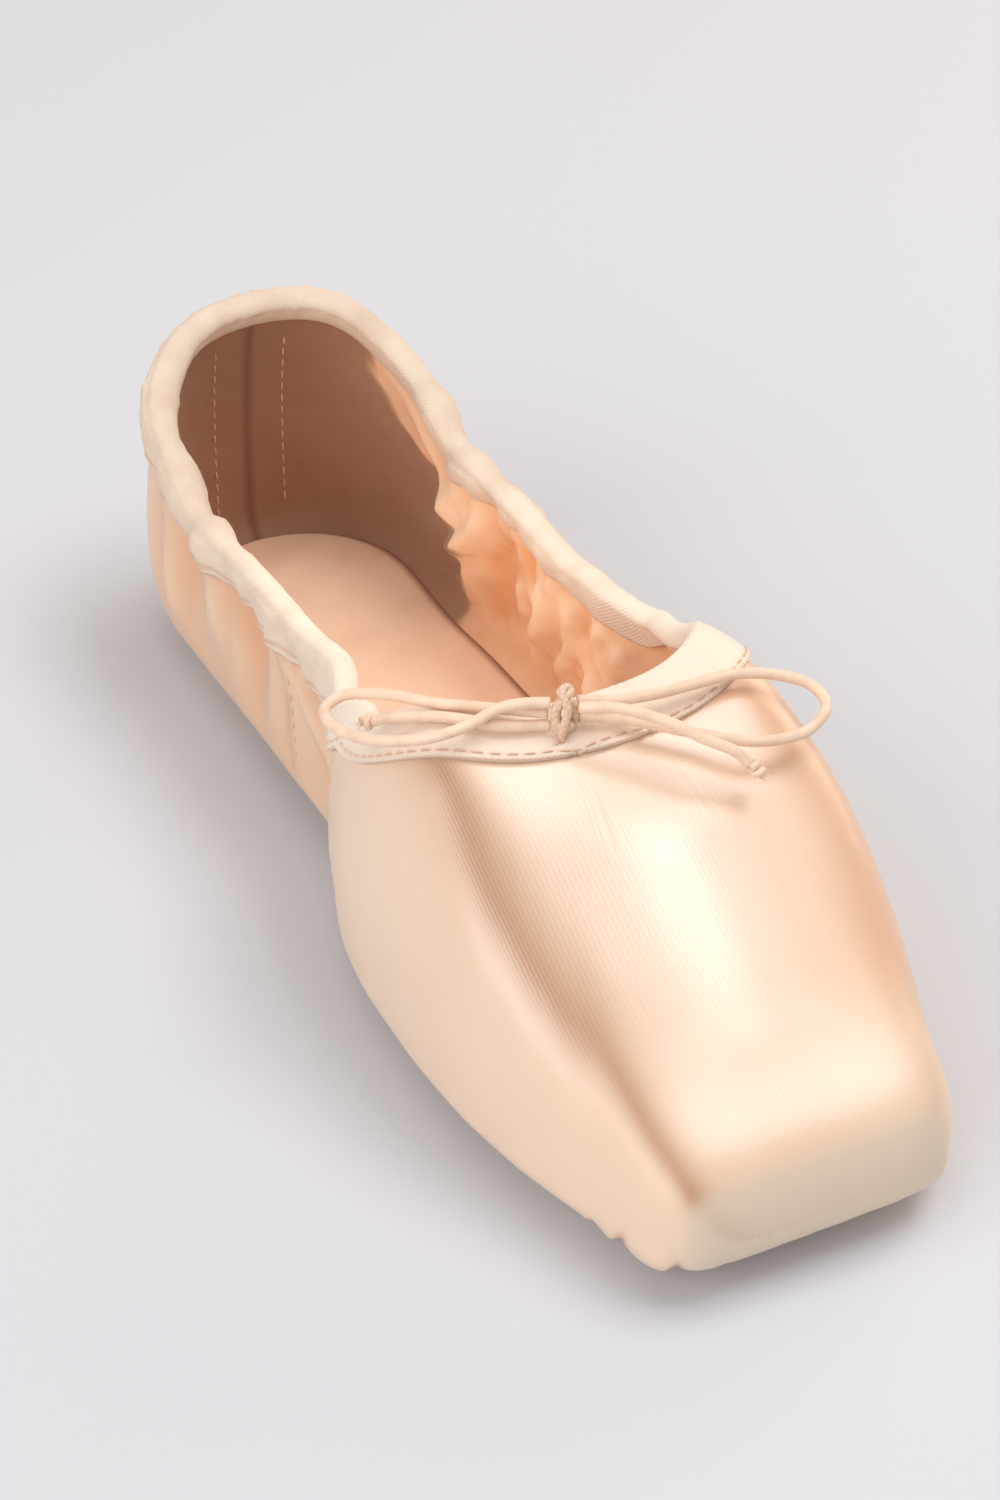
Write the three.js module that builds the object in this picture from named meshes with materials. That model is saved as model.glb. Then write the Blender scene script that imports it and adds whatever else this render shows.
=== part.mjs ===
// A pointe shoe, standing empty on its sole.
// Millimetres, +Z up, floor at z = 0, toe towards -Y, heel towards +Y, origin under the middle.
// A place along the shoe is s, the distance from the back of the heel towards the platform.

import * as THREE from 'three';

// The last
const LENGTH = 235;
const HEEL_WIDTH = 59;
const BALL_WIDTH = 85.5;
const PLATFORM_WIDTH = 58;
const PLATFORM_HEIGHT = 29.5;
const THROAT_HEIGHT = 62.5;
const HEEL_LEVEL = 16.5;
const TOE_LEVEL = 14.5;
const ARCH_RISE = 2.6;
const TOE_SPRING = 1.0;
const HEEL_ROUND = 30.5;
const TOE_ROUND = 47;
const PLATFORM_LEAN = 0.02;

// The collar and the throat
const BACK_HEIGHT = 67;
const SIDE_HEIGHT = 45;
const THROAT_AT = 152;
const THROAT_WIDTH = 60.5;
const THROAT_DEPTH = 28.5;

// Walls, and the gap where two pieces meet
const HEEL_WALL = 2.0;
const SIDE_WALL = 1.7;
const BOX_WALL = 2.6;
const GAP = 0.3;
const SOLE_GAP = 0.45;

// The leather sole
const SOLE_THICKNESS = 2.7;
const SOLE_BACK = 5;
const SOLE_END = 217;
const SOLE_BACK_ROUND = 22;
const SOLE_END_ROUND = 30;
const SOLE_HEEL_WIDTH = 44;
const SOLE_WAIST_WIDTH = 31;
const SOLE_BALL_WIDTH = 53;
const SOLE_TIP_WIDTH = 36;
const SKIVE_WIDTH = 2.5;
const SKIVE_STEP = 0.9;
const MARGIN_OVER_SOLE = 7;

// The insole
const INSOLE_THICKNESS = 1.6;
const INSOLE_SEAT = 0.9;
const INSOLE_EDGE_GAP = 1.2;
const INSOLE_TOE_GAP = 3;

// The casing of the drawstring
const CASING_SIDE = 6.5;
const CASING_THROAT = 8.5;
const CASING_CLOTH = 0.9;
const CASING_PUFF = 1.3;

// Height at which the quarter's folds begin
const FOLD_FOOT = 10;

// Pleats under the toe
const PLEATS = 12;
const PLEAT_DEPTH = 1.1;
const PLEAT_SPREAD = 24;
const PLEAT_TOP = 13;

// The drawstring
const CORD_DIAMETER = 2;
const KNOT_WIDTH = 4.4;
const KNOT_HEIGHT = 7.5;
const KNOT_ASIDE = -8;
const KNOT_AHEAD = 5.5;

// Steps of the meshes
const SIDE_RINGS = 34;
const BODY_ROWS = 13;
const SOLE_STEPS = 26;
const SOLE_COLUMNS = 6;
const INSOLE_COLUMNS = 2;
const CORD_SIDES = 8;
const CORD_STEP = 2.5 * CORD_DIAMETER;

// Powers of the superellipses that round the outline and the sections
const HEEL_POWER = 2.2;
const TOE_POWER = 7;
const SIDE_POWER = 2.75;
const CROWN_POWER = 2.9;
const PLATFORM_POWER = 18;
const BOTTOM_POWER = 5;
const UNDER_POWER = 3;
const FAN_POWER = 3.7;
const THROAT_POWER = 2.75;
const SOLE_POWER = 2.3;

// Sections of the last, from the heel to the platform.
// at: share of LENGTH. half: half width. crown: height of the section's highest point, which
// lies above the collar where the shoe is open. level: from HEEL_LEVEL, 0, to TOE_LEVEL, 1.
// rise: of the underside over the flats. wall: thickness of the upper.
const SECTIONS = [
  { at: 0.00, half: 0.505 * HEEL_WIDTH, crown: 1.131 * BACK_HEIGHT, level: 0.00, rise: 0, wall: HEEL_WALL },
  { at: 0.13, half: 0.505 * HEEL_WIDTH, crown: 1.234 * BACK_HEIGHT, level: 0.00, rise: 0, wall: HEEL_WALL },
  { at: 0.19, half: 0.500 * HEEL_WIDTH, crown: 1.208 * BACK_HEIGHT, level: 0.00, rise: 0, wall: HEEL_WALL },
  { at: 0.30, half: 0.498 * HEEL_WIDTH, crown: 1.131 * BACK_HEIGHT, level: 0.00, rise: 0.70 * ARCH_RISE, wall: SIDE_WALL },
  { at: 0.45, half: 0.500 * HEEL_WIDTH, crown: 1.10 * THROAT_HEIGHT, level: 0.00, rise: 1.00 * ARCH_RISE, wall: SIDE_WALL },
  { at: 0.52, half: 0.432 * BALL_WIDTH, crown: 1.07 * THROAT_HEIGHT, level: 0.00, rise: 0.60 * ARCH_RISE, wall: 0.8 * BOX_WALL },
  { at: 0.58, half: 0.486 * BALL_WIDTH, crown: 1.05 * THROAT_HEIGHT, level: 0.05, rise: 0.15 * ARCH_RISE, wall: BOX_WALL },
  { at: 0.64, half: 0.502 * BALL_WIDTH, crown: 1.005 * THROAT_HEIGHT, level: 0.20, rise: 0, wall: BOX_WALL },
  { at: 0.70, half: 0.500 * BALL_WIDTH, crown: 0.925 * THROAT_HEIGHT, level: 0.33, rise: 0, wall: BOX_WALL },
  { at: 0.76, half: 0.488 * BALL_WIDTH, crown: 0.815 * THROAT_HEIGHT, level: 0.47, rise: 0, wall: BOX_WALL },
  { at: 0.82, half: 0.463 * BALL_WIDTH, crown: 0.695 * THROAT_HEIGHT, level: 0.60, rise: 0, wall: BOX_WALL },
  { at: 0.88, half: 0.418 * BALL_WIDTH, crown: 1.235 * PLATFORM_HEIGHT, level: 0.73, rise: 0.2 * TOE_SPRING, wall: BOX_WALL },
  { at: 0.93, half: 0.552 * PLATFORM_WIDTH, crown: 1.085 * PLATFORM_HEIGHT, level: 0.84, rise: 0.5 * TOE_SPRING, wall: BOX_WALL },
  { at: 1.00, half: 0.500 * PLATFORM_WIDTH, crown: 1.00 * PLATFORM_HEIGHT, level: 1.00, rise: 1.0 * TOE_SPRING, wall: BOX_WALL },
];

// Height of the collar along the side, before the throat cuts through it.
const COLLAR = [
  { at: 0.00, height: 1.000 * BACK_HEIGHT },
  { at: 0.04, height: 0.963 * BACK_HEIGHT },
  { at: 0.08, height: 0.836 * BACK_HEIGHT },
  { at: 0.14, height: 0.739 * BACK_HEIGHT },
  { at: 0.20, height: 0.973 * SIDE_HEIGHT },
  { at: 0.26, height: 1.004 * SIDE_HEIGHT },
  { at: 0.35, height: 1.027 * SIDE_HEIGHT },
  { at: 0.50, height: 1.022 * SIDE_HEIGHT },
  { at: 1.00, height: 1.022 * SIDE_HEIGHT },
];

// Half outline of the leather sole. at: share of LENGTH. half: half width.
const SOLE = [
  { at: 0.00, half: 0.500 * SOLE_HEEL_WIDTH },
  { at: 0.13, half: 0.500 * SOLE_HEEL_WIDTH },
  { at: 0.28, half: 0.540 * SOLE_WAIST_WIDTH },
  { at: 0.40, half: 0.500 * SOLE_WAIST_WIDTH },
  { at: 0.52, half: 0.560 * SOLE_WAIST_WIDTH },
  { at: 0.66, half: 0.500 * SOLE_BALL_WIDTH },
  { at: 0.74, half: 0.485 * SOLE_BALL_WIDTH },
  { at: 0.86, half: 0.560 * SOLE_TIP_WIDTH },
  { at: 1.00, half: 0.400 * SOLE_TIP_WIDTH },
];

// Soft folds of the cloth at the quarters. at: share of LENGTH. side: -1 or 1 in X.
// up: middle of the fold as a share of the collar's height. tall, wide: its reach as shares
// of SIDE_HEIGHT. depth: outwards, as a share of CASING_PUFF.
const FOLDS = [
  { at: 0.16, side: -1, up: 0.62, tall: 0.35, wide: 0.13, depth: -0.9 },
  { at: 0.23, side: -1, up: 0.66, tall: 0.30, wide: 0.12, depth: 0.8 },
  { at: 0.31, side: -1, up: 0.60, tall: 0.35, wide: 0.13, depth: -0.9 },
  { at: 0.44, side: -1, up: 0.45, tall: 0.40, wide: 0.11, depth: -1.0 },
  { at: 0.20, side: 1, up: 0.60, tall: 0.35, wide: 0.13, depth: -0.9 },
  { at: 0.29, side: 1, up: 0.55, tall: 0.30, wide: 0.14, depth: 1.0 },
  { at: 0.37, side: 1, up: 0.60, tall: 0.35, wide: 0.12, depth: -0.9 },
  { at: 0.45, side: 1, up: 0.45, tall: 0.40, wide: 0.11, depth: -1.0 },
];

// The drawstring's routes, laid by hand, as offsets from the middle of the knot.
const BOW = {
  loop_left: [
    [-2.6, 0.5, 2.3], [-7, 2, 2.6], [-11, 3, 2.2], [-16.5, 2.5, 1.1], [-23, 3.5, -0.1],
    [-29.5, 8, -1.7], [-32.5, 15.5, -3.5], [-33, 22, -4.5], [-31, 25, -4.4], [-26.5, 22, -2.7],
    [-22.5, 18, -1.4], [-18.5, 12.5, -0.4], [-13.5, 8.5, -0.1], [-8.5, 5, -0.1], [-2.7, 0.8, 0],
  ],
  loop_right: [
    [2.6, 0.6, 1], [8.5, -1.5, 0.4], [16.5, -2, -0.5], [25, -1.5, -1.3], [33, -1, -2.3],
    [40, -2.5, -3.9], [45, -5.5, -5.7], [45.5, -10, -6.9], [41, -14, -7.1], [36.5, -15.5, -6.9],
    [28.5, -15, -5.9], [19.5, -9.5, -4.7], [14, -6, -3.5], [8.5, -2.5, -2.5], [2.6, -0.2, -1.9],
  ],
  end_left: [
    [-2.6, 0.4, -2.2], [-7, 1.5, -1.7], [-11.5, 3, -1], [-15.5, 6, -0.6], [-19.5, 10, -1.2],
    [-23.5, 14, -2.6], [-26, 17.5, -4.6], [-26.8, 18.5, -5.4],
  ],
  end_right: [
    [1.7, -2.1, 1.6], [6.5, -5.5, 2.2], [10.5, -8.5, 1.5], [14.5, -12, 0.3], [18.5, -15.5, -1.8],
    [23, -18, -4.2], [25, -19.5, -6.4],
  ],
};

// Smooth curve through a column of a table that keeps between its values.
function curveThrough(rows, column) {
  const places = rows.map((row) => row.at * LENGTH);
  const values = rows.map((row) => row[column]);
  const last = places.length - 1;
  const steps = places.slice(1).map((place, i) => place - places[i]);
  const slopes = steps.map((step, i) => (values[i + 1] - values[i]) / step);
  const tangents = values.map((value, i) => {
    if (i === 0) return slopes[0];
    if (i === last) return slopes[last - 1];
    if (slopes[i - 1] * slopes[i] <= 0) return 0;
    const before = 2 * steps[i] + steps[i - 1];
    const after = steps[i] + 2 * steps[i - 1];
    return (before + after) / (before / slopes[i - 1] + after / slopes[i]);
  });
  return (place) => {
    const p = clamp(place, places[0], places[last]);
    let i = 0;
    while (i < last - 1 && p > places[i + 1]) i += 1;
    const t = (p - places[i]) / steps[i];
    const t2 = t * t;
    const t3 = t2 * t;
    return (2 * t3 - 3 * t2 + 1) * values[i] + (t3 - 2 * t2 + t) * steps[i] * tangents[i]
      + (3 * t2 - 2 * t3) * values[i + 1] + (t3 - t2) * steps[i] * tangents[i + 1];
  };
}

function clamp(value, low, high) {
  return Math.min(Math.max(value, low), high);
}

// Value held softly between two limits.
function softLimit(value, low, high) {
  const softness = 4;
  const over = (x) => softness * Math.log1p(Math.exp(x / softness));
  return value + over(low - value) - over(value - high);
}

// Value read between the steps of a rising list: the step's number and the share inside it.
function stepOf(list, target) {
  let i = 1;
  while (i < list.length - 1 && list[i] < target) i += 1;
  const share = (target - list[i - 1]) / Math.max(list[i] - list[i - 1], 1e-9);
  return { i, share: clamp(share, 0, 1) };
}

const mix = (a, b, share) => a + (b - a) * share;

const halfWidth = curveThrough(SECTIONS, 'half');
const crownHeight = curveThrough(SECTIONS, 'crown');
const levelShare = curveThrough(SECTIONS, 'level');
const undersideRise = curveThrough(SECTIONS, 'rise');
const wallAt = curveThrough(SECTIONS, 'wall');
const collarHeight = curveThrough(COLLAR, 'height');
const soleHalfWidth = curveThrough(SOLE, 'half');
const FAN_CENTRE = THROAT_AT - THROAT_DEPTH + 2;
const widestLevel = (s) => mix(HEEL_LEVEL, TOE_LEVEL, levelShare(s));
const undersideAt = (s) => SOLE_THICKNESS + SOLE_GAP + undersideRise(s);
const toSpace = (x, s, z) => new THREE.Vector3(x, LENGTH / 2 - s, z);
const placeOf = (at) => LENGTH / 2 - at.y;

// Half of an outline with superellipse ends, as places { x, s } from the back to the front.
function halfOutline({ width, back, front, backRound, frontRound, backPower, frontPower }) {
  const places = [];
  const steps = 80;
  for (let i = 0; i <= steps; i += 1) {
    const turn = (i / steps) * Math.PI / 2;
    const s = back + backRound * (1 - Math.cos(turn) ** (2 / backPower));
    places.push({ x: width(s) * Math.sin(turn) ** (2 / backPower), s });
  }
  for (let i = 1; i < steps; i += 1) {
    const s = mix(back + backRound, front - frontRound, i / steps);
    places.push({ x: width(s), s });
  }
  for (let i = 0; i <= steps; i += 1) {
    const turn = (i / steps) * Math.PI / 2;
    const s = front - frontRound + frontRound * Math.sin(turn) ** (2 / frontPower);
    places.push({ x: width(s) * Math.cos(turn) ** (2 / frontPower), s });
  }
  places[places.length - 1].x = 0;
  return places;
}

function lengthsAlong(places) {
  const lengths = [0];
  for (let i = 1; i < places.length; i += 1) {
    lengths.push(lengths[i - 1] + Math.hypot(places[i].x - places[i - 1].x, places[i].s - places[i - 1].s));
  }
  return lengths;
}

// Places at given shares of an outline's length.
function alongOutline(places, shares) {
  const lengths = lengthsAlong(places);
  const total = lengths[lengths.length - 1];
  return shares.map((target) => {
    const { i, share } = stepOf(lengths, target * total);
    return {
      x: mix(places[i - 1].x, places[i].x, share),
      s: mix(places[i - 1].s, places[i].s, share),
    };
  });
}

const LAST_OUTLINE = halfOutline({
  width: halfWidth,
  back: 0,
  front: LENGTH,
  backRound: HEEL_ROUND,
  frontRound: TOE_ROUND,
  backPower: HEEL_POWER,
  frontPower: TOE_POWER,
});

const SOLE_OUTLINE = halfOutline({
  width: soleHalfWidth,
  back: SOLE_BACK,
  front: SOLE_END,
  backRound: SOLE_BACK_ROUND,
  frontRound: SOLE_END_ROUND,
  backPower: SOLE_POWER,
  frontPower: SOLE_POWER,
});

// Point of a ring. A ring runs from the middle of the underside, round a place of the outline,
// to the crown. Behind the fan's centre the rings are level sections, and before it they
// spread like a fan. turn is -1 under the foot, 0 at the widest level and 1 at the crown.
function ringPoint(place, turn) {
  const anchor = softLimit(place.s, HEEL_ROUND, FAN_CENTRE);
  const reach = Math.hypot(place.s - anchor, place.x);
  const outPower = ringPower(place, anchor, reach, turn < 0);
  const upPower = turn < 0 ? UNDER_POWER : CROWN_POWER;
  const outCorner = 0.5 ** (1 / outPower);
  const upCorner = 0.5 ** (1 / upPower);
  const t = Math.abs(turn);
  const low = t < 0.5;
  const farOut = 2 * (1 - t) * outCorner;
  const up = low ? 2 * t * upCorner : (1 - farOut ** outPower) ** (1 / upPower);
  const out = low ? (1 - up ** upPower) ** (1 / outPower) : farOut;
  const s = mix(anchor, place.s, out);
  const level = widestLevel(s);
  const z = turn < 0 ? mix(level, undersideAt(s), up) : mix(level, crownHeight(s), up);
  const lean = PLATFORM_LEAN * (z - level) * (Math.max(s / LENGTH - 0.6, 0) / 0.4) ** 2;
  return { x: place.x * out, s: s - lean, z, out, reach };
}

// Power that rounds a ring's side, sharper where the ring points at the platform.
function ringPower(place, anchor, reach, under) {
  const side = under ? BOTTOM_POWER : SIDE_POWER;
  const ahead = Math.max(place.s - anchor, 0) / Math.max(reach, 1e-6);
  return mix(side, PLATFORM_POWER, ahead ** FAN_POWER);
}

// Positive where the shoe is open, above the collar and behind the throat.
function openness(point) {
  const behind = THROAT_AT - point.s;
  const share = clamp(behind / THROAT_DEPTH, 0, 1);
  const curve = (1 - (1 - share) ** THROAT_POWER) ** (1 / THROAT_POWER);
  const flare = 0.6 * Math.max(behind - THROAT_DEPTH, 0);
  const throat = behind > 0 ? 0.5 * THROAT_WIDTH * curve + flare - Math.abs(point.x) : behind;
  const collar = point.z - collarHeight(point.s);
  const softness = 4;
  return -softness * Math.log(Math.exp(-collar / softness) + Math.exp(-throat / softness));
}

// Half width of the leather sole at a place, 0 beyond its ends.
function soleEdge(s) {
  if (s <= SOLE_BACK || s >= SOLE_END) return 0;
  const { i, share } = stepOf(SOLE_OUTLINE.map((place) => place.s), s);
  return mix(SOLE_OUTLINE[i - 1].x, SOLE_OUTLINE[i].x, share);
}

// Share of the way from a ring's anchor to its place at which it leaves the leather sole.
function shareAtSole(place) {
  const anchor = softLimit(place.s, HEEL_ROUND, FAN_CENTRE);
  let low = 0;
  let high = 1;
  for (let i = 0; i < 24; i += 1) {
    const share = (low + high) / 2;
    if (place.x * share < soleEdge(mix(anchor, place.s, share))) low = share;
    else high = share;
  }
  return low;
}

// Outwards depth of the quarter's folds at a point of the wall.
function foldDepth(at) {
  const s = placeOf(at);
  let depth = 0;
  for (const fold of FOLDS) {
    if (fold.side * at.x < 0) continue;
    const along = (s - fold.at * LENGTH) / (fold.wide * SIDE_HEIGHT);
    const upward = (at.z - fold.up * collarHeight(s)) / (fold.tall * SIDE_HEIGHT);
    depth += fold.depth * CASING_PUFF * Math.exp(-along * along - upward * upward);
  }
  return depth * clamp((at.z - FOLD_FOOT) / FOLD_FOOT, 0, 1);
}

// The wall's outer line on one ring, from the margin under the foot to the collar, with the
// share of the pleats' depth at each point.
function wallLine(place, side) {
  const steps = 320;
  const soleShare = shareAtSole(place);
  const line = [];
  let before = null;
  for (let i = 0; i <= steps; i += 1) {
    const turn = -1 + 2 * (i / steps);
    const point = ringPoint(place, turn);
    const pastSole = (point.out - soleShare) * point.reach;
    if (turn < 0 && pastSole < -MARGIN_OVER_SOLE) continue;
    const open = turn > 0 ? openness(point) : -1;
    const at = toSpace(side * point.x, point.s, point.z);
    const pleat = clamp(pastSole / 4, 0, 1) * clamp(2 * (1 - point.z / PLEAT_TOP), 0, 1);
    if (open > 0) {
      line.push({ at: before.at.clone().lerp(at, before.open / (before.open - open)), pleat: 0 });
      break;
    }
    before = { at, open };
    line.push({ at, pleat });
  }
  return line;
}

// Lengths from the collar down to each point of a line.
function lengthsDown(line) {
  const lengths = [0];
  for (let i = line.length - 1; i > 0; i -= 1) {
    lengths.push(lengths[lengths.length - 1] + line[i].at.distanceTo(line[i - 1].at));
  }
  return lengths;
}

// Lengths at which a line is cut into rows below the casing. The rows crowd at its bends.
function bodyRows(line, casing) {
  const bendReach = 22;
  const lengths = lengthsDown(line);
  const loads = [0];
  for (let k = 1; k < lengths.length; k += 1) {
    const i = line.length - k;
    const here = line[i].at.clone().sub(line[i - 1].at);
    const next = i > 1 ? line[i - 1].at.clone().sub(line[i - 2].at) : here;
    const load = lengths[k] > casing ? here.length() + bendReach * here.angleTo(next) : 0;
    loads.push(loads[k - 1] + load);
  }
  const total = loads[loads.length - 1];
  const rows = [];
  for (let row = 0; row <= BODY_ROWS; row += 1) {
    const { i, share } = stepOf(loads, total * (row / BODY_ROWS));
    rows.push(row === 0 ? casing : mix(lengths[i - 1], lengths[i], share));
  }
  return rows.reverse();
}

// Points of a line at given lengths below the collar.
function cutLine(line, cuts) {
  const lengths = lengthsDown(line);
  return cuts.map((cut) => {
    const { i, share } = stepOf(lengths, cut);
    const a = line[line.length - i];
    const b = line[line.length - 1 - i];
    return { at: a.at.clone().lerp(b.at, share), pleat: mix(a.pleat, b.pleat, share) };
  });
}

// Places of the rings on half of the outline: even steps, then two rings for each pleat.
function ringPlaces() {
  const lengths = lengthsAlong(LAST_OUTLINE);
  const toe = (0.5 * PLATFORM_WIDTH + PLEAT_SPREAD) / lengths[lengths.length - 1];
  const shares = [];
  for (let i = 0; i < SIDE_RINGS; i += 1) shares.push((1 - toe) * (i / SIDE_RINGS));
  for (let i = 0; i <= PLEATS; i += 1) shares.push(1 - toe * (1 - i / PLEATS));
  return alongOutline(LAST_OUTLINE, shares);
}

// Height of the casing below the collar on each ring, more where the ring meets it at a slant.
function casingHeights(rings) {
  const count = rings.length;
  const slants = rings.map(({ line }, i) => {
    const end = line[line.length - 1].at;
    const down = end.clone().sub(line[line.length - 8].at);
    const ahead = rings[(i + 1) % count].line;
    const behind = rings[(i + count - 1) % count].line;
    const along = ahead[ahead.length - 1].at.clone().sub(behind[behind.length - 1].at);
    const height = mix(CASING_SIDE, CASING_THROAT, clamp((placeOf(end) - FAN_CENTRE + 15) / 20, 0, 1));
    return height / Math.max(Math.sin(down.angleTo(along)), 0.6);
  });
  return slants.map((height, i) => {
    const around = slants[(i + 1) % count] + slants[(i + count - 1) % count];
    return 0.5 * height + 0.25 * around;
  });
}

// The wall as rings of points: outer and inner side, the outward normal, and the way up.
function buildWall() {
  const places = ringPlaces();
  const toe = places.length - 1;
  const right = places.map((place, i) => ({ i, place, line: wallLine(place, 1) }));
  const left = places.slice(1, toe).map((place, i) => ({ i: i + 1, place, line: wallLine(place, -1) }));
  const rings = [...right, ...left.reverse()];
  const casings = casingHeights(rings);
  const grid = rings.map(({ line }, k) => cutLine(line, [
    ...bodyRows(line, casings[k]),
    0.5 * casings[k],
    0,
  ]));
  return grid.map((points, k) => {
    const next = grid[(k + 1) % grid.length];
    const before = grid[(k + grid.length - 1) % grid.length];
    const { i } = rings[k];
    const pleated = clamp((i - SIDE_RINGS) / 2, 0, 1) * (i % 2 === 0 ? 0.5 : -0.5) * PLEAT_DEPTH;
    return points.map(({ at, pleat }, j) => {
      const up = points[Math.min(j + 1, points.length - 1)].at.clone().sub(points[Math.max(j - 1, 0)].at);
      const along = next[j].at.clone().sub(before[j].at);
      const normal = up.clone().cross(along).normalize();
      const middle = at.clone().addScaledVector(normal, foldDepth(at));
      return {
        outer: middle.clone().addScaledVector(normal, pleated * pleat),
        inner: middle.clone().addScaledVector(normal, -wallAt(placeOf(at))),
        normal,
        up: up.normalize(),
      };
    });
  });
}

// Mesh from vertices and triangles. Triangles that lost a corner are left out, and a shape
// that was wound inwards is turned.
function meshOf(name, vertices, triangles, material) {
  const kept = triangles.filter(([a, b, c]) => a !== b && b !== c && c !== a);
  const volume = kept.reduce((sum, [a, b, c]) => (
    sum + vertices[a].dot(vertices[b].clone().cross(vertices[c])) / 6
  ), 0);
  const wound = volume < 0 ? kept.map(([a, b, c]) => [a, c, b]) : kept;
  const geometry = new THREE.BufferGeometry();
  geometry.setAttribute('position', new THREE.Float32BufferAttribute(vertices.flatMap((v) => [v.x, v.y, v.z]), 3));
  geometry.setIndex(wound.flat());
  geometry.computeVertexNormals();
  const mesh = new THREE.Mesh(geometry, material);
  mesh.name = name;
  return mesh;
}

// Closed tube whose sections are loops of points, joined round and back to the first.
function tubeOfLoops(name, loops, material) {
  const size = loops[0].length;
  const vertices = loops.flat();
  const triangles = [];
  for (let i = 0; i < loops.length; i += 1) {
    const next = (i + 1) % loops.length;
    for (let j = 0; j < size; j += 1) {
      const k = (j + 1) % size;
      const a = i * size + j;
      const b = next * size + j;
      const c = next * size + k;
      const d = i * size + k;
      triangles.push([a, b, c], [a, c, d]);
    }
  }
  return meshOf(name, vertices, triangles, material);
}

// Plate between a top and a bottom. levels: half outlines of { x, s, z } from the top's edge
// to the bottom's edge. top, bottom: height at (x, s).
function plate(name, levels, top, bottom, columns, material) {
  const vertices = [];
  const triangles = [];
  const add = (x, s, z) => vertices.push(toSpace(x, s, z)) - 1;
  const last = levels[0].length - 1;
  const edges = levels.map((level) => level.map(({ x, s, z }, i) => {
    const rightEdge = add(x, s, z);
    const leftEdge = i === 0 || i === last ? rightEdge : add(-x, s, z);
    return { leftEdge, rightEdge };
  }));
  for (let n = 1; n < levels.length; n += 1) {
    for (let i = 0; i < last; i += 1) {
      for (const side of ['leftEdge', 'rightEdge']) {
        const a = edges[n - 1][i][side];
        const b = edges[n - 1][i + 1][side];
        const c = edges[n][i + 1][side];
        const d = edges[n][i][side];
        triangles.push(side === 'leftEdge' ? [a, b, c] : [a, c, b]);
        triangles.push(side === 'leftEdge' ? [a, c, d] : [a, d, c]);
      }
    }
  }
  const cover = (n, height, flip) => {
    const rows = levels[n].map(({ x, s }, i) => {
      const { leftEdge, rightEdge } = edges[n][i];
      const row = [leftEdge];
      for (let k = 1; k < columns; k += 1) {
        const across = mix(-x, x, k / columns);
        row.push(i === 0 || i === last ? leftEdge : add(across, s, height(across, s)));
      }
      return [...row, rightEdge];
    });
    for (let i = 0; i < last; i += 1) {
      for (let k = 0; k < columns; k += 1) {
        const a = rows[i][k];
        const b = rows[i][k + 1];
        const c = rows[i + 1][k + 1];
        const d = rows[i + 1][k];
        triangles.push(flip ? [a, c, b] : [a, b, c], flip ? [a, d, c] : [a, c, d]);
      }
    }
  };
  cover(0, top, false);
  cover(levels.length - 1, bottom, true);
  return meshOf(name, vertices, triangles, material);
}

// Height of the upper's underside at a point beside the middle line.
function underSurface(x, s) {
  const beside = Math.abs(x);
  if (beside < 1e-6) return undersideAt(s);
  let low = 0;
  let high = LAST_OUTLINE.length - 1;
  while (high - low > 1) {
    const middle = Math.round((low + high) / 2);
    const place = LAST_OUTLINE[middle];
    const anchor = softLimit(place.s, HEEL_ROUND, FAN_CENTRE);
    if ((s - anchor) * place.x - beside * (place.s - anchor) > 0) low = middle;
    else high = middle;
  }
  const place = LAST_OUTLINE[high];
  const anchor = softLimit(place.s, HEEL_ROUND, FAN_CENTRE);
  const reach = Math.hypot(place.s - anchor, place.x);
  const out = clamp(Math.hypot(s - anchor, beside) / reach, 0, 1);
  const up = (1 - out ** ringPower(place, anchor, reach, true)) ** (1 / UNDER_POWER);
  return mix(widestLevel(s), undersideAt(s), up);
}

// Half outline of the leather sole moved inwards, at a height above the sole's own bottom.
function soleLevel(inset, height) {
  const shares = Array.from({ length: SOLE_STEPS + 1 }, (unused, i) => i / SOLE_STEPS);
  const middle = (SOLE_BACK + SOLE_END) / 2;
  const shorter = 1 - 2 * inset / (SOLE_END - SOLE_BACK);
  return alongOutline(SOLE_OUTLINE, shares).map(({ x, s }) => {
    const narrower = inset > 0 ? inset * (1 - Math.exp(-x / (2 * inset))) : 0;
    const place = { x: x - narrower, s: middle + (s - middle) * shorter };
    return { ...place, z: height(place.x, place.s) };
  });
}

function buildOutsole(material) {
  const top = (x, s) => underSurface(x, s) - SOLE_GAP;
  const levels = [
    soleLevel(0, top),
    soleLevel(0, (x, s) => undersideRise(s) + SKIVE_STEP),
    soleLevel(SKIVE_WIDTH, (x, s) => undersideRise(s)),
  ];
  return plate('outsole', levels, top, (x, s) => undersideRise(s), SOLE_COLUMNS, material);
}

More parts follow.
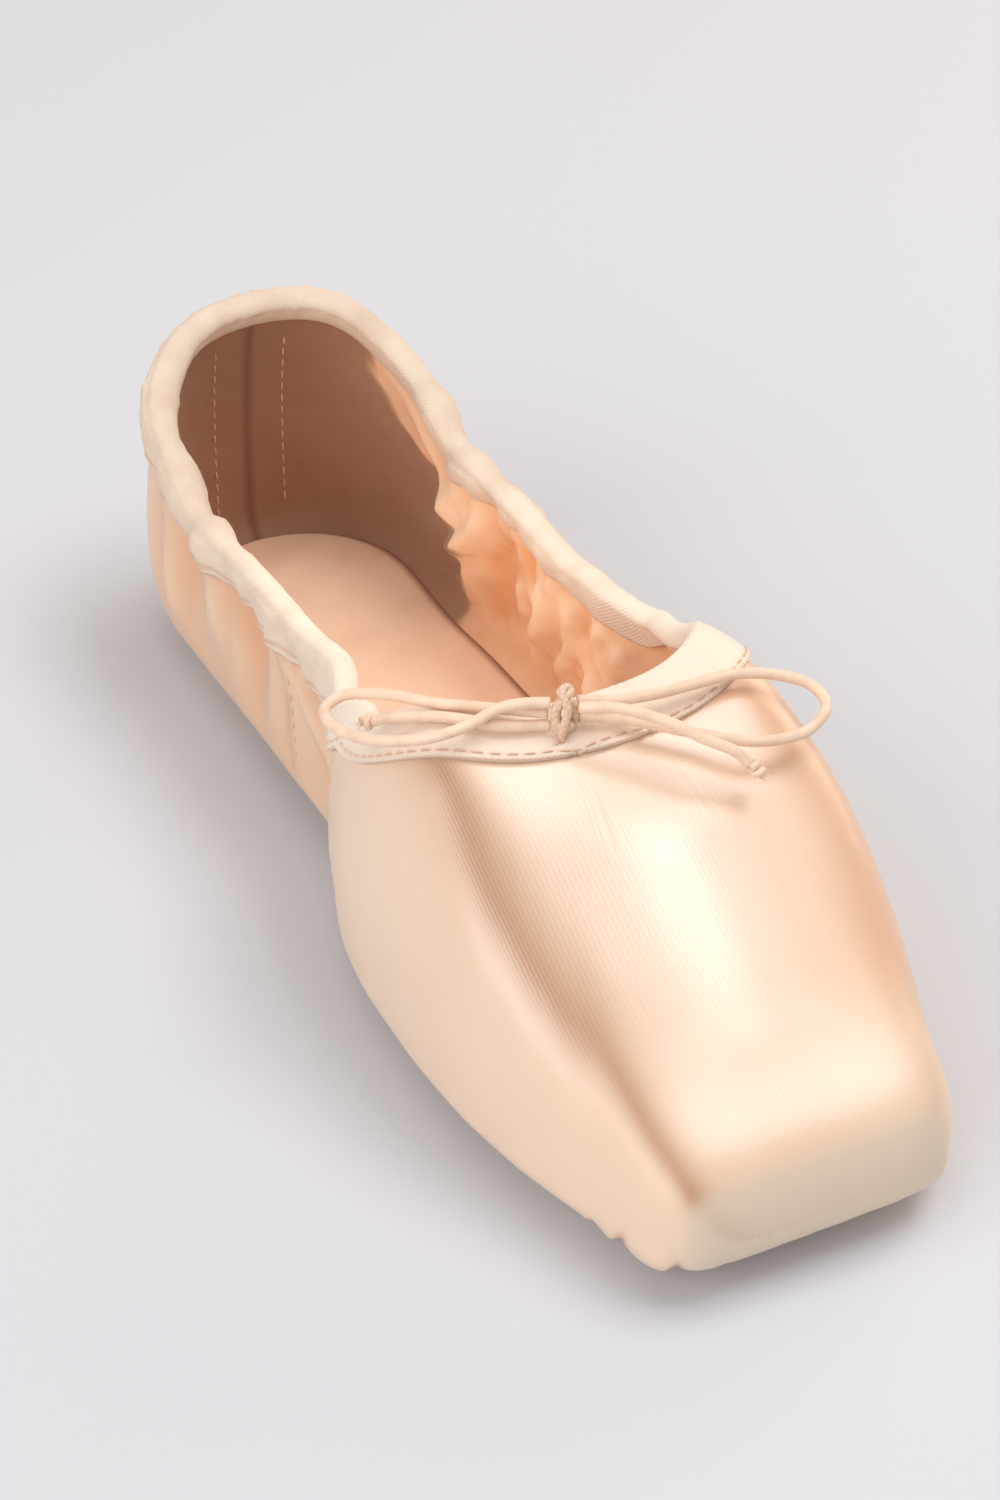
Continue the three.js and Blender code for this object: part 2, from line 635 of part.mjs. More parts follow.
// Half outline of the inside of the wall where it reaches a height over the turned-in margin.
function insideLevel(wall, share) {
  const height = (s) => undersideAt(s) + wallAt(s) + INSOLE_SEAT + share * INSOLE_THICKNESS;
  const toe = wall.length / 2;
  return wall.slice(0, toe + 1).map((ring, k) => {
    let j = 1;
    while (ring[j].inner.z < height(placeOf(ring[j].inner))) j += 1;
    const a = ring[j - 1].inner;
    const b = ring[j].inner;
    const below = height(placeOf(a)) - a.z;
    const above = b.z - height(placeOf(b));
    const at = a.clone().lerp(b, clamp(below / (below + above), 0, 1));
    const s = placeOf(at);
    const anchor = clamp(s, HEEL_ROUND, FAN_CENTRE);
    const reach = Math.hypot(at.x, s - anchor);
    const gap = mix(INSOLE_EDGE_GAP, INSOLE_TOE_GAP, clamp((s - anchor) / (LENGTH - anchor), 0, 1));
    const shrink = 1 - gap / reach;
    const inset = mix(anchor, s, shrink);
    return { x: k === 0 || k === toe ? 0 : at.x * shrink, s: inset, z: height(inset) };
  });
}

function buildInsole(wall, material) {
  const height = (share) => (x, s) => (
    undersideAt(s) + wallAt(s) + INSOLE_SEAT + share * INSOLE_THICKNESS
  );
  const levels = [insideLevel(wall, 1), insideLevel(wall, 0.4), insideLevel(wall, 0)];
  return plate('insole', levels, height(1), height(0), INSOLE_COLUMNS, material);
}

function buildUpper(wall, material) {
  const loops = wall.map((ring) => [
    ...ring.map((point) => point.outer),
    ...ring.map((point) => point.inner).reverse(),
  ]);
  return tubeOfLoops('upper', loops, material);
}

// The casing folds over the collar: a cloth's thickness on both sides of the wall, puffed up
// round the heel and the sides and flat across the throat.
function buildCasing(wall, material) {
  const face = GAP + CASING_CLOTH;
  const loops = wall.map((ring) => {
    const [low, middle, edge] = ring.slice(-3);
    const flat = clamp((placeOf(edge.outer) - FAN_CENTRE + 15) / 20, 0, 1);
    const puff = CASING_PUFF * (1 - flat);
    const out = (point, away) => point.outer.clone().addScaledVector(point.normal, away);
    const into = (point, away) => point.inner.clone().addScaledVector(point.normal, -away);
    const lift = (at, height) => at.addScaledVector(edge.up, height);
    const crest = edge.outer.clone().lerp(edge.inner, 0.5);
    return [
      out(low, GAP),
      out(middle, GAP),
      lift(out(edge, GAP), GAP),
      lift(into(edge, GAP), GAP),
      into(middle, GAP),
      into(low, GAP),
      into(low, face),
      into(middle, face + 0.4 * puff),
      lift(into(edge, face + 0.1 * puff), GAP + 0.3 * CASING_CLOTH),
      lift(crest, face + 0.4 * puff),
      lift(out(edge, face + 0.3 * puff), GAP + 0.3 * CASING_CLOTH),
      out(middle, face + puff),
      out(low, face),
    ];
  });
  return tubeOfLoops('binding', loops, material);
}

// Height of the wall's outer side under the casing, at the step nearest to a point in plan.
function casingGround(wall, x, y) {
  const nearest = { away: Infinity, height: 0 };
  for (const ring of wall) {
    const [low, middle, edge] = ring.slice(-3).map((point) => point.outer);
    for (const [a, b] of [[low, middle], [middle, edge]]) {
      const stepX = b.x - a.x;
      const stepY = b.y - a.y;
      const ahead = (x - a.x) * stepX + (y - a.y) * stepY;
      const share = clamp(ahead / (stepX * stepX + stepY * stepY), 0, 1);
      const away = Math.hypot(x - a.x - share * stepX, y - a.y - share * stepY);
      if (away < nearest.away) Object.assign(nearest, { away, height: mix(a.z, b.z, share) });
    }
  }
  return nearest.height;
}

// The knot's middle stands over the outer cloth of the casing, before the front of the throat.
function knotMiddle(wall) {
  const y = LENGTH / 2 - THROAT_AT - KNOT_AHEAD;
  const ground = casingGround(wall, KNOT_ASIDE, y);
  return new THREE.Vector3(KNOT_ASIDE, y, ground + 2.5 * GAP + CASING_CLOTH + 0.5 * KNOT_HEIGHT);
}

function buildKnot(middle, material) {
  const geometry = new THREE.SphereGeometry(0.5, 12, 8);
  geometry.scale(KNOT_WIDTH, KNOT_WIDTH, KNOT_HEIGHT);
  const mesh = new THREE.Mesh(geometry, material);
  mesh.name = 'knot';
  mesh.position.copy(middle);
  return mesh;
}

function buildCord(name, route, middle, material) {
  const curve = new THREE.CatmullRomCurve3(route.map((offset) => new THREE.Vector3(...offset)));
  const section = new THREE.Shape(Array.from({ length: CORD_SIDES }, (unused, i) => {
    const angle = (i / CORD_SIDES) * 2 * Math.PI;
    return new THREE.Vector2(Math.cos(angle), Math.sin(angle)).multiplyScalar(CORD_DIAMETER / 2);
  }));
  const geometry = new THREE.ExtrudeGeometry(section, {
    steps: Math.ceil(curve.getLength() / CORD_STEP),
    bevelEnabled: false,
    extrudePath: curve,
  });
  const mesh = new THREE.Mesh(geometry, material);
  mesh.name = name;
  mesh.position.copy(middle);
  return mesh;
}

const satin = new THREE.MeshStandardMaterial({ color: 0xf2cfb6, roughness: 0.38, metalness: 0 });
const leather = new THREE.MeshStandardMaterial({ color: 0xd9b391, roughness: 0.7, metalness: 0 });
const lining = new THREE.MeshStandardMaterial({ color: 0xe7bd9c, roughness: 0.9, metalness: 0 });
const tape = new THREE.MeshStandardMaterial({ color: 0xf3dcc8, roughness: 0.75, metalness: 0 });
const elastic = new THREE.MeshStandardMaterial({ color: 0xeecbb0, roughness: 0.6, metalness: 0 });

const wall = buildWall();
const middle = knotMiddle(wall);
const drawstring = new THREE.Group();
drawstring.add(buildKnot(middle, elastic));
for (const [name, route] of Object.entries(BOW)) drawstring.add(buildCord(name, route, middle, elastic));

const shoe = new THREE.Group();
shoe.add(
  buildOutsole(leather),
  buildUpper(wall, satin),
  buildInsole(wall, lining),
  buildCasing(wall, tape),
  drawstring,
);

export default shoe;
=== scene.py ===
"""A pointe shoe dressed for its picture: satin, lining, casing, insole, leather sole, drawstring.

Lengths are millimetres in the shoe's own frame until a mesh is made, which turns them into
metres. +Z is up, the toe points to -Y, and s is the distance from the back of the heel.
"""

from __future__ import annotations

import logging
import math
from dataclasses import dataclass, field
from enum import Enum
from typing import Any, Sequence

import bpy
import numpy as np
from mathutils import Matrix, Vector

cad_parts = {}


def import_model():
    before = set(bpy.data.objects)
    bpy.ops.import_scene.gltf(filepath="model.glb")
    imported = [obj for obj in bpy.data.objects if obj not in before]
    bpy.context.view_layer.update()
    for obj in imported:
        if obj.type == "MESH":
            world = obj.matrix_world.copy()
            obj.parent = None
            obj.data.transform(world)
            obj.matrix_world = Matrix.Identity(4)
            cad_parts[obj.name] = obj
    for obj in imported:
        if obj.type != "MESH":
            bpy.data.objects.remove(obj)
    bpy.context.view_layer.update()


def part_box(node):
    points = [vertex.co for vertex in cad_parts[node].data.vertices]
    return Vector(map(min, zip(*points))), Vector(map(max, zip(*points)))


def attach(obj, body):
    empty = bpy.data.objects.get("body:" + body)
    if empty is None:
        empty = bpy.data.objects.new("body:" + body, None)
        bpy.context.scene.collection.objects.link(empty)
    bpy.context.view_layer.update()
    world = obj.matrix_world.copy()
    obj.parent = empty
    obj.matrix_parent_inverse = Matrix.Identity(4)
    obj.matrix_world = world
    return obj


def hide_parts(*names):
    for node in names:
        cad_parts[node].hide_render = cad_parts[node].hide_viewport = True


log = logging.getLogger("pointe_shoe")
Array = np.ndarray
MM = 0.001
LENGTH = 235.0  # of the shoe, whose middle is at y = 0
CLOTH_UV = 0.01  # the cloth's coordinates for each millimetre


class Side(Enum):
    """The two sides of the shoe, by their sign in X."""

    NEAR = -1.0
    FAR = 1.0


NEAR, FAR = Side.NEAR, Side.FAR


class Curve:
    """Smooth curve through a table that keeps between its values (a monotone cubic)."""

    def __init__(self, places: Sequence[float], values: Sequence[float]) -> None:
        """Works out the slopes: at each place the weighted harmonic mean of its two sides.

        Args:
            places: rising places.
            values: the value at each place.
        """
        self.places = np.asarray(places, float)
        self.values = np.asarray(values, float)
        self.steps = np.diff(self.places)
        slopes = np.diff(self.values) / self.steps
        before = 2 * self.steps[1:] + self.steps[:-1]
        after = self.steps[1:] + 2 * self.steps[:-1]
        with np.errstate(divide="ignore", invalid="ignore"):
            inner = (before + after) / (before / slopes[:-1] + after / slopes[1:])
        inner = np.where(slopes[:-1] * slopes[1:] > 0, inner, 0.0)
        self.tangents = np.concatenate([slopes[:1], inner, slopes[-1:]])

    def __call__(self, place: Array | float) -> Array:
        """The curve's value at each place, held at the ends."""
        p = np.clip(place, self.places[0], self.places[-1])
        i = np.clip(np.searchsorted(self.places, p, side="right") - 1, 0, len(self.steps) - 1)
        t = (p - self.places[i]) / self.steps[i]
        t2, t3 = t * t, t * t * t
        return (
            (2 * t3 - 3 * t2 + 1) * self.values[i]
            + (t3 - 2 * t2 + t) * self.steps[i] * self.tangents[i]
            + (3 * t2 - 2 * t3) * self.values[i + 1]
            + (t3 - t2) * self.steps[i] * self.tangents[i + 1]
        )


def ramp(value: Array, low: float, high: float) -> Array:
    """Smooth step: 0 below low, 1 above high, a cubic between."""
    t = np.clip((value - low) / (high - low), 0, 1)
    return t * t * (3 - 2 * t)


def soft_limit(value: Array, low: float, high: float, softness: float = 4.0) -> Array:
    """Value held softly between two limits, by two log-exponential bends."""
    below, above = (softness * np.log1p(np.exp(past / softness)) for past in (low - value, value - high))
    return value + below - above


def bell(value: Array, middle: Array | float, reach: float) -> Array:
    """Bell curve: 1 at the middle, exp(-1) at the reach to either side."""
    return np.exp(-(((value - middle) / reach) ** 2))


def run_along(steps: Array) -> Array:
    """Distance from the start at each point of a line, from the lengths of its steps."""
    return np.concatenate([[0], np.cumsum(steps)])


def step_lengths(line: Array) -> Array:
    """Lengths of the steps from point to point of a line."""
    return np.linalg.norm(np.diff(line, axis=0), axis=1)


def sample(line: Array, at: Array, wanted: Array) -> Array:
    """Points of a line, whose own points lie at the places at, at the wanted places."""
    return np.stack([np.interp(wanted, at, line[:, k]) for k in range(3)], -1)


def spokes(first: Array, second: Array, sides: int) -> Array:
    """Directions of a circle that turns from first towards second, along a new axis."""
    angle = np.linspace(0, 2 * np.pi, sides, endpoint=False)[:, None]
    return np.cos(angle) * first[..., None, :] + np.sin(angle) * second[..., None, :]


def unit(vectors: Array) -> Array:
    """Vectors divided by their lengths."""
    return vectors / np.maximum(np.linalg.norm(vectors, axis=-1, keepdims=True), 1e-12)


def waves(place: Array, lengths: Sequence[float], seed: int) -> Array:
    """Uneven ripples: a sum of sines of given wavelengths with seeded phases, within about 1."""
    rng = np.random.default_rng(seed)
    total = sum(np.sin(2 * np.pi * place / w + rng.uniform(0, 6.28)) for w in lengths)
    return total / math.sqrt(len(lengths))


@dataclass
class Last:
    """The form that the shoe was pulled over, as the solids have it."""

    length: float = LENGTH
    heel_width: float = 59.0
    ball_width: float = 85.5
    platform_width: float = 58.0
    platform_height: float = 29.5
    throat_height: float = 62.5
    heel_level: float = 16.5
    toe_level: float = 14.5
    arch_rise: float = 2.6
    toe_spring: float = 1.0
    heel_round: float = 30.5
    toe_round: float = 47.0
    platform_lean: float = 0.02
    back_height: float = 67.0
    side_height: float = 45.0
    throat_at: float = 152.0
    throat_width: float = 60.5
    throat_depth: float = 28.5
    sole_thickness: float = 2.7
    sole_gap: float = 0.45
    sole_back: float = 5.0
    sole_end: float = 217.0
    margin: float = 7.0

    def __post_init__(self) -> None:
        """Turns the tables of shares into curves along the shoe."""
        at = np.array([0, .13, .19, .30, .45, .52, .58, .64, .70, .76, .82, .88, .93, 1.0])
        heel, ball, tip = self.heel_width, self.ball_width, self.platform_width
        half = [.505 * heel, .505 * heel, .5 * heel, .498 * heel, .5 * heel, .432 * ball, .486 * ball,
                .502 * ball, .5 * ball, .488 * ball, .463 * ball, .418 * ball, .552 * tip, .5 * tip]
        back, top, toe = self.back_height, self.throat_height, self.platform_height
        crown = [1.131 * back, 1.234 * back, 1.208 * back, 1.131 * back, 1.1 * top, 1.07 * top, 1.05 * top,
                 1.005 * top, .925 * top, .815 * top, .695 * top, 1.235 * toe, 1.085 * toe, toe]
        level = [0, 0, 0, 0, 0, 0, .05, .2, .33, .47, .6, .73, .84, 1]
        arch, spring = self.arch_rise, self.toe_spring
        rise = [0, 0, 0, .7 * arch, arch, .6 * arch, .15 * arch, 0, 0, 0, 0,
                .2 * spring, .5 * spring, spring]
        wall = [2.0, 2.0, 2.0, 1.7, 1.7, .8 * 2.6] + [2.6] * 8
        places = at * self.length
        self.half = Curve(places, half)
        self.crown = Curve(places, crown)
        self.level_share = Curve(places, level)
        self.rise = Curve(places, rise)
        self.wall = Curve(places, wall)
        self.collar = Curve(
            np.array([0, .04, .08, .14, .20, .26, .35, .50, 1.0]) * self.length,
            [*(np.array([1, .963, .836, .739]) * back),
             *(np.array([.973, 1.004, 1.027, 1.022, 1.022]) * self.side_height)],
        )
        self.sole_half = Curve(
            np.array([0, .13, .28, .40, .52, .66, .74, .86, 1.0]) * self.length,
            [22, 22, .54 * 31, .5 * 31, .56 * 31, .5 * 53, .485 * 53, .56 * 36, .4 * 36],
        )
        self.fan_centre = self.throat_at - self.throat_depth + 2
        self.outline = self._outline(self.half, 0, self.length, self.heel_round, self.toe_round, 2.2, 7)
        self.sole = self._outline(self.sole_half, self.sole_back, self.sole_end, 22, 30, 2.3, 2.3)

    @staticmethod
    def _outline(width: Curve, back: float, front: float, back_round: float, front_round: float,
                 back_power: float, front_power: float) -> tuple[Array, Array]:
        """Half outline with superellipse ends, from the back to the front.

        Returns:
            x and s of its points: width times sin^(2/p) round the back, the width itself along
            the sides, and width times cos^(2/p) round the front.
        """
        turn = np.linspace(0, np.pi / 2, 241)
        s_back = back + back_round * (1 - np.cos(turn) ** (2 / back_power))
        s_side = np.linspace(back + back_round, front - front_round, 241)[1:-1]
        s_front = front - front_round + front_round * np.sin(turn) ** (2 / front_power)
        x = np.concatenate([
            width(s_back) * np.sin(turn) ** (2 / back_power),
            width(s_side),
            width(s_front) * np.maximum(np.cos(turn), 0) ** (2 / front_power),
        ])
        x[-1] = 0
        return x, np.concatenate([s_back, s_side, s_front])

    def level(self, s: Array) -> Array:
        """Height of the widest place of the section at s."""
        return self.heel_level + (self.toe_level - self.heel_level) * self.level_share(s)

    def underside(self, s: Array) -> Array:
        """Height of the upper's underside at s."""
        return self.sole_thickness + self.sole_gap + self.rise(s)

    def ring_power(self, x: Array, s: Array, anchor: Array, under: Array) -> Array:
        """Power that rounds a ring's side, sharper where the ring points at the platform."""
        reach = np.hypot(s - anchor, x)
        side = np.where(under, 5.0, 2.75)
        ahead = np.maximum(s - anchor, 0) / np.maximum(reach, 1e-6)
        return side + (18.0 - side) * ahead ** 3.7

    def ring_point(self, x: Array, s: Array, turn: Array) -> dict[str, Array]:
        """Points of the rings through the outline's places (x, s).

        A ring is a superellipse from the middle of the underside (turn -1) through its place on
        the outline (turn 0) to the crown (turn 1), taken in even steps along its axes.
        """
        anchor = soft_limit(s, self.heel_round, self.fan_centre)
        reach = np.hypot(s - anchor, x)
        under = turn < 0
        out_power = self.ring_power(x, s, anchor, under)
        up_power = np.where(under, 3.0, 2.9)
        t = np.abs(turn)
        rising = np.clip(2 * t * 0.5 ** (1 / up_power), 0, 1)
        falling = np.clip(2 * (1 - t) * 0.5 ** (1 / out_power), 0, 1)
        low = t < 0.5
        up = np.where(low, rising, (1 - falling ** out_power) ** (1 / up_power))
        out = np.where(low, (1 - rising ** up_power) ** (1 / out_power), falling)
        place = anchor + (s - anchor) * out
        level = self.level(place)
        z = level + (np.where(under, self.underside(place), self.crown(place)) - level) * up
        lean = self.platform_lean * (z - level) * (np.maximum(place / self.length - 0.6, 0) / 0.4) ** 2
        return {"x": x * out, "s": place - lean, "z": z, "out": out, "reach": reach + 0 * out}

    def openness(self, x: Array, s: Array, z: Array) -> Array:
        """Positive where the shoe is open: a soft minimum of above-the-collar and in-the-throat."""
        behind = self.throat_at - s
        share = np.clip(behind / self.throat_depth, 0, 1)
        curve = (1 - (1 - share) ** 2.75) ** (1 / 2.75)
        flare = 0.6 * np.maximum(behind - self.throat_depth, 0)
        throat = np.where(behind > 0, 0.5 * self.throat_width * curve + flare - np.abs(x), behind)
        above = z - self.collar(s)
        softness = 4.0
        return -softness * np.logaddexp(-above / softness, -throat / softness)

    def sole_edge(self, s: Array) -> Array:
        """Half width of the leather sole at s, 0 beyond its ends."""
        x, place = self.sole
        return np.interp(s, place, x, left=0, right=0)


def to_space(x: Array, s: Array, z: Array) -> Array:
    """Points in the shoe's frame from x, the distance from the heel's back, and the height."""
    return np.stack(np.broadcast_arrays(x, LENGTH / 2 - s, z), -1)


def place_of(points: Array) -> Array:
    """Distance of points from the back of the heel."""
    return LENGTH / 2 - points[..., 1]


@dataclass(frozen=True)
class Crease:
    """A soft trough or ridge in the cloth.

    at: share of the shoe's length. up: share of the wall's height. lean: degrees from upright,
    towards the toe at the top. tall, wide: reach in mm. depth: mm, outwards.
    """

    at: float
    side: Side
    up: float
    lean: float
    tall: float
    wide: float
    depth: float


def crease_rows(side: Side, *rows: tuple[float, ...]) -> tuple[Crease, ...]:
    """Creases of one side from rows of at, up, lean, tall, wide and depth."""
    return tuple(Crease(row[0], side, *row[1:]) for row in rows)


SOLID_FOLDS = (
    *crease_rows(
        NEAR,
        (0.16, 0.62, 0, 15.75, 5.85, -1.17), (0.23, 0.66, 0, 13.5, 5.4, 1.04),
        (0.31, 0.60, 0, 15.75, 5.85, -1.17), (0.44, 0.45, 0, 18.0, 4.95, -1.3),
    ),
    *crease_rows(
        FAR,
        (0.20, 0.60, 0, 15.75, 5.85, -1.17), (0.29, 0.55, 0, 13.5, 6.3, 1.3),
        (0.37, 0.60, 0, 15.75, 5.4, -1.17), (0.45, 0.45, 0, 18.0, 4.95, -1.3),
    ),
)

NEAR_CREASES = crease_rows(
    NEAR,
    (0.075, 0.45, 0, 22, 9.0, 1.2), (0.115, 0.62, 6, 15, 3.6, -1.3),
    (0.145, 0.55, -4, 17, 3.6, 0.6), (0.18, 0.74, 14, 9, 2.6, -1.2), (0.205, 0.50, 8, 15, 3.8, 0.5),
    (0.245, 0.74, -10, 9, 2.6, -1.3), (0.275, 0.46, 16, 14, 4.0, 0.5),
    (0.315, 0.76, -14, 8, 2.6, -0.9), (0.345, 0.55, 4, 14, 3.0, 0.7),
    (0.405, 0.80, -52, 12, 2.2, -1.3), (0.425, 0.66, -50, 14, 2.6, 1.1),
    (0.445, 0.50, -44, 12, 2.2, -0.9), (0.475, 0.62, -30, 15, 2.6, -0.9),
    (0.50, 0.46, -26, 14, 3.0, 0.8), (0.145, 0.44, -7, 11, 3.6, 1.5),
    (0.282, 0.78, -42, 10, 5.6, -2.4), (0.234, 0.71, -10, 7, 2.8, 1.0),
    (0.402, 0.87, -61, 8, 2.8, -1.6), (0.366, 0.81, -20, 8, 2.4, 1.0),
    (0.198, 0.66, 0, 12, 3.0, -1.2),
)

FAR_CREASES = crease_rows(
    FAR,
    (0.135, 0.55, 34, 16, 3.4, 1.0), (0.175, 0.62, 30, 17, 3.0, -1.6),
    (0.200, 0.40, 52, 12, 3.2, 1.5), (0.225, 0.55, 14, 16, 3.0, -2.6),
    (0.205, 0.24, 78, 9, 3.4, -2.2), (0.262, 0.58, 8, 13, 4.4, 3.0),
    (0.255, 0.30, 66, 13, 3.0, 1.6), (0.300, 0.56, -4, 15, 3.0, -1.7),
    (0.325, 0.78, -16, 9, 2.4, 1.3), (0.335, 0.42, -34, 12, 2.4, 1.1),
    (0.352, 0.64, -20, 12, 2.0, -1.1), (0.375, 0.50, 22, 11, 2.0, 1.1),
    (0.395, 0.70, -30, 11, 1.9, -1.0), (0.412, 0.44, 30, 10, 1.9, 1.1),
    (0.430, 0.66, -36, 11, 1.8, 1.0), (0.448, 0.42, -48, 11, 1.8, -1.0),
    (0.470, 0.62, -42, 11, 1.8, 0.9), (0.490, 0.42, -52, 11, 1.8, 0.8),
    (0.510, 0.60, -44, 10, 1.7, -0.8),
)


LINING_FOLDS = crease_rows(
    FAR,
    (0.157, 0.72, -65, 17, 3.0, -1.6), (0.166, 0.60, -60, 10, 2.6, 1.6),
    (0.211, 0.56, 45, 8, 2.6, -2.8), (0.264, 0.74, 20, 11, 3.0, -2.6),
    (0.287, 0.60, 42, 17, 4.6, 2.4), (0.285, 0.55, 68, 19, 2.6, -1.7),
    (0.306, 0.38, 69, 15, 2.6, 1.0), (0.300, 0.33, 51, 12, 1.9, -1.3),
    (0.355, 0.48, 34, 16, 1.9, -1.5), (0.360, 0.62, 15, 17, 1.7, -1.7),
    (0.379, 0.65, 14, 15, 1.5, 1.2), (0.398, 0.67, 18, 14, 1.6, -1.6),
    (0.418, 0.73, 19, 12, 1.4, 1.2), (0.445, 0.75, 16, 11, 1.5, -1.4),
    (0.470, 0.77, 11, 9, 1.3, -1.2),
)


def crease_depth(folds: Sequence[Crease], x: Array, s: Array, z: Array, last: Last) -> Array:
    """Sum of the creases at points of the wall.

    Each is its depth times exp(-(across / wide)^2 - (along / tall)^2), across and along being
    distances from its middle in the side's own plane, turned by its lean.
    """
    height = last.collar(s)
    total = np.zeros(np.broadcast(x, s, z).shape)
    for crease in folds:
        angle = math.radians(crease.lean)
        ahead = s - crease.at * last.length
        above = z - crease.up * height
        across = ahead * math.cos(angle) - above * math.sin(angle)
        along = ahead * math.sin(angle) + above * math.cos(angle)
        bump = np.exp(-((across / crease.wide) ** 2) - (along / crease.tall) ** 2)
        total += crease.depth * bump * (crease.side.value * x > 0)
    return total * np.clip((z - 10) / 10, 0, 1)


@dataclass
class Wall:
    """The upper's wall as a fine grid of rings, from the margin under the foot to the collar.

    side_rings stand on each side and closer toe_rings on each half of the toe. Of each ring's
    rows, the last casing_rows lie within casing_reach of the collar, and fine is the number of
    points in which the sole's edge and the collar are sought along a ring.
    """

    last: Last
    side_rings: int = 120
    toe_rings: int = 84
    rows: int = 150
    casing_rows: int = 30
    casing_reach: float = 10.0
    fine: int = 801

    def __post_init__(self) -> None:
        """Cuts the last's rings at the sole and the collar and lays even rows on them."""
        last = self.last
        x, s = last.outline
        lengths = run_along(np.hypot(np.diff(x), np.diff(s)))
        toe = lengths[-1] - (0.5 * last.platform_width + 26)
        girth = np.concatenate([
            np.linspace(0, toe, self.side_rings, endpoint=False),
            np.linspace(toe, lengths[-1], self.toe_rings + 1),
        ])
        self.half_girth = lengths[-1]
        px, ps = np.interp(girth, lengths, x), np.interp(girth, lengths, s)
        half = self._half_rings(px[:, None], ps[:, None])
        mirror = slice(-2, 0, -1)
        whole = {key: np.concatenate([value, value[mirror]]) for key, value in half.items() if key != "x"}
        self.x = np.concatenate([half["x"], -half["x"][mirror]])
        self.s, self.z, self.past = whole["s"], whole["z"], whole["past"]
        self.down, self.turn = whole["down"], whole["turn"]
        self.girth = np.concatenate([girth, 2 * lengths[-1] - girth[mirror]])[:, None] + 0 * self.s
        self.z = self.z + self._corner_drop()
        self.points = to_space(self.x, self.s, self.z)
        self._ease_shoulders()
        self.normal, self.up = self._ways()
        self.points = self.points + self.normal * self.crown()[..., None]
        self.normal, self.up = self._ways()
        self.thickness = last.wall(self.s)
        self.at_heel = self.s < 40
        self.off_floor = ramp(self.turn, -0.3, 0.1)

    def _ways(self) -> tuple[Array, Array]:
        """Outward directions, from the two ways along the grid, and the ways up it."""
        along = np.roll(self.points, -1, 0) - np.roll(self.points, 1, 0)
        up = np.gradient(self.points, axis=1)
        return unit(np.cross(up, along)), unit(up)

    def _corner_drop(self) -> Array:
        """Rise before the throat's corners and drop at them, which the drawn collar eases."""
        edge = self.s[:, -1:]
        rise = 3.0 * bell(edge, 107, 10) - 4.4 * bell(edge, 128, 9)
        return rise * np.exp(-self.down / 16) * (self.turn > 0)

    def _ease_shoulders(self) -> None:
        """Rounds the vamp's shoulders: each ring's points drift to the mean of their neighbours.

        The drift over n rounds smooths a ring over sqrt(n) steps of it. It is full on the near
        shoulder, half on the far one, and fades towards the collar, the floor and the platform.
        """
        step = np.linalg.norm(self.points[:, 40] - self.points[:, 41], axis=-1)[:, None]
        share = ramp(self.down, 9, 26) * ramp(self.z, 9, 20) * ramp(self.s, 96, 128)
        share = share * (1 - 0.8 * ramp(self.s, 204, 236)) * (0.75 - 0.25 * np.tanh(self.x / 12))
        share = np.clip(0.5 * share * (0.5 / np.maximum(step, 0.3)) ** 2, 0, 0.5)[:, 1:-1, None]
        for _ in range(650):
            p = self.points
            drift = p[:, :-2] - 2 * p[:, 1:-1] + p[:, 2:]
            p[:, 1:-1] += share * drift

    def crown(self) -> Array:
        """Depth of the vamp's round back over its middle, outwards."""
        vamp = ramp(self.down, 9, 32) * ramp(self.s, 100, 135) * (1 - ramp(self.s, 212, 230))
        return 3.2 * (bell(self.x, -2, 19) - 0.2) * vamp * ramp(self.turn, 0.5, 0.64)

    def _half_rings(self, x: Array, s: Array) -> dict[str, Array]:
        """The rings of one side, each resampled at even lengths below its collar."""
        last = self.last
        turns = np.linspace(-1, 0, self.fine)[None, :]
        under = last.ring_point(x, s, turns)
        anchor = soft_limit(s, last.heel_round, last.fan_centre)
        low, high = np.zeros_like(s), np.ones_like(s)
        for _ in range(30):
            share = (low + high) / 2
            inside = x * share < last.sole_edge(anchor + (s - anchor) * share)
            low, high = np.where(inside, share, low), np.where(inside, high, share)
        start = self._crossing((under["out"] - low) * under["reach"] + last.margin, turns)
        turns = np.linspace(0, 1, self.fine)[None, :]
        over = last.ring_point(x, s, turns)
        end = self._crossing(last.openness(over["x"], over["s"], over["z"]), turns)
        turn = start + (end - start) * np.linspace(0, 1, 701)[None, :]
        ring = last.ring_point(x, s, turn)
        ring["past"] = (ring["out"] - low) * ring["reach"]
        ring["turn"] = turn
        step = np.sqrt(sum(np.diff(ring[key], axis=1) ** 2 for key in ("x", "s", "z")))
        from_margin = np.concatenate([0 * s, np.cumsum(step, 1)], 1)
        down = from_margin[:, -1:] - from_margin
        reach, below = self.casing_reach, self.casing_rows
        wanted = np.concatenate([
            reach + (down[:, :1] - reach) * np.linspace(1, 0, self.rows - below)[None, :],
            reach * np.linspace(1, 0, below + 1)[None, 1:] + 0 * s,
        ], 1)
        found = {
            key: np.stack([np.interp(-w, -d, v) for w, d, v in zip(wanted, down, ring[key])])
            for key in ("x", "s", "z", "past", "turn")
        }
        return {**found, "down": wanted}

    @staticmethod
    def _crossing(value: Array, turns: Array) -> Array:
        """The turn at which a row of values first rises through 0, by linear interpolation."""
        i = np.clip(np.argmax(value > 0, axis=1), 1, None)[:, None]
        before, after = np.take_along_axis(value, i - 1, 1), np.take_along_axis(value, i, 1)
        share = np.clip(before / (before - after), 0, 1)
        return turns[0][i - 1] + share * (turns[0][i] - turns[0][i - 1])

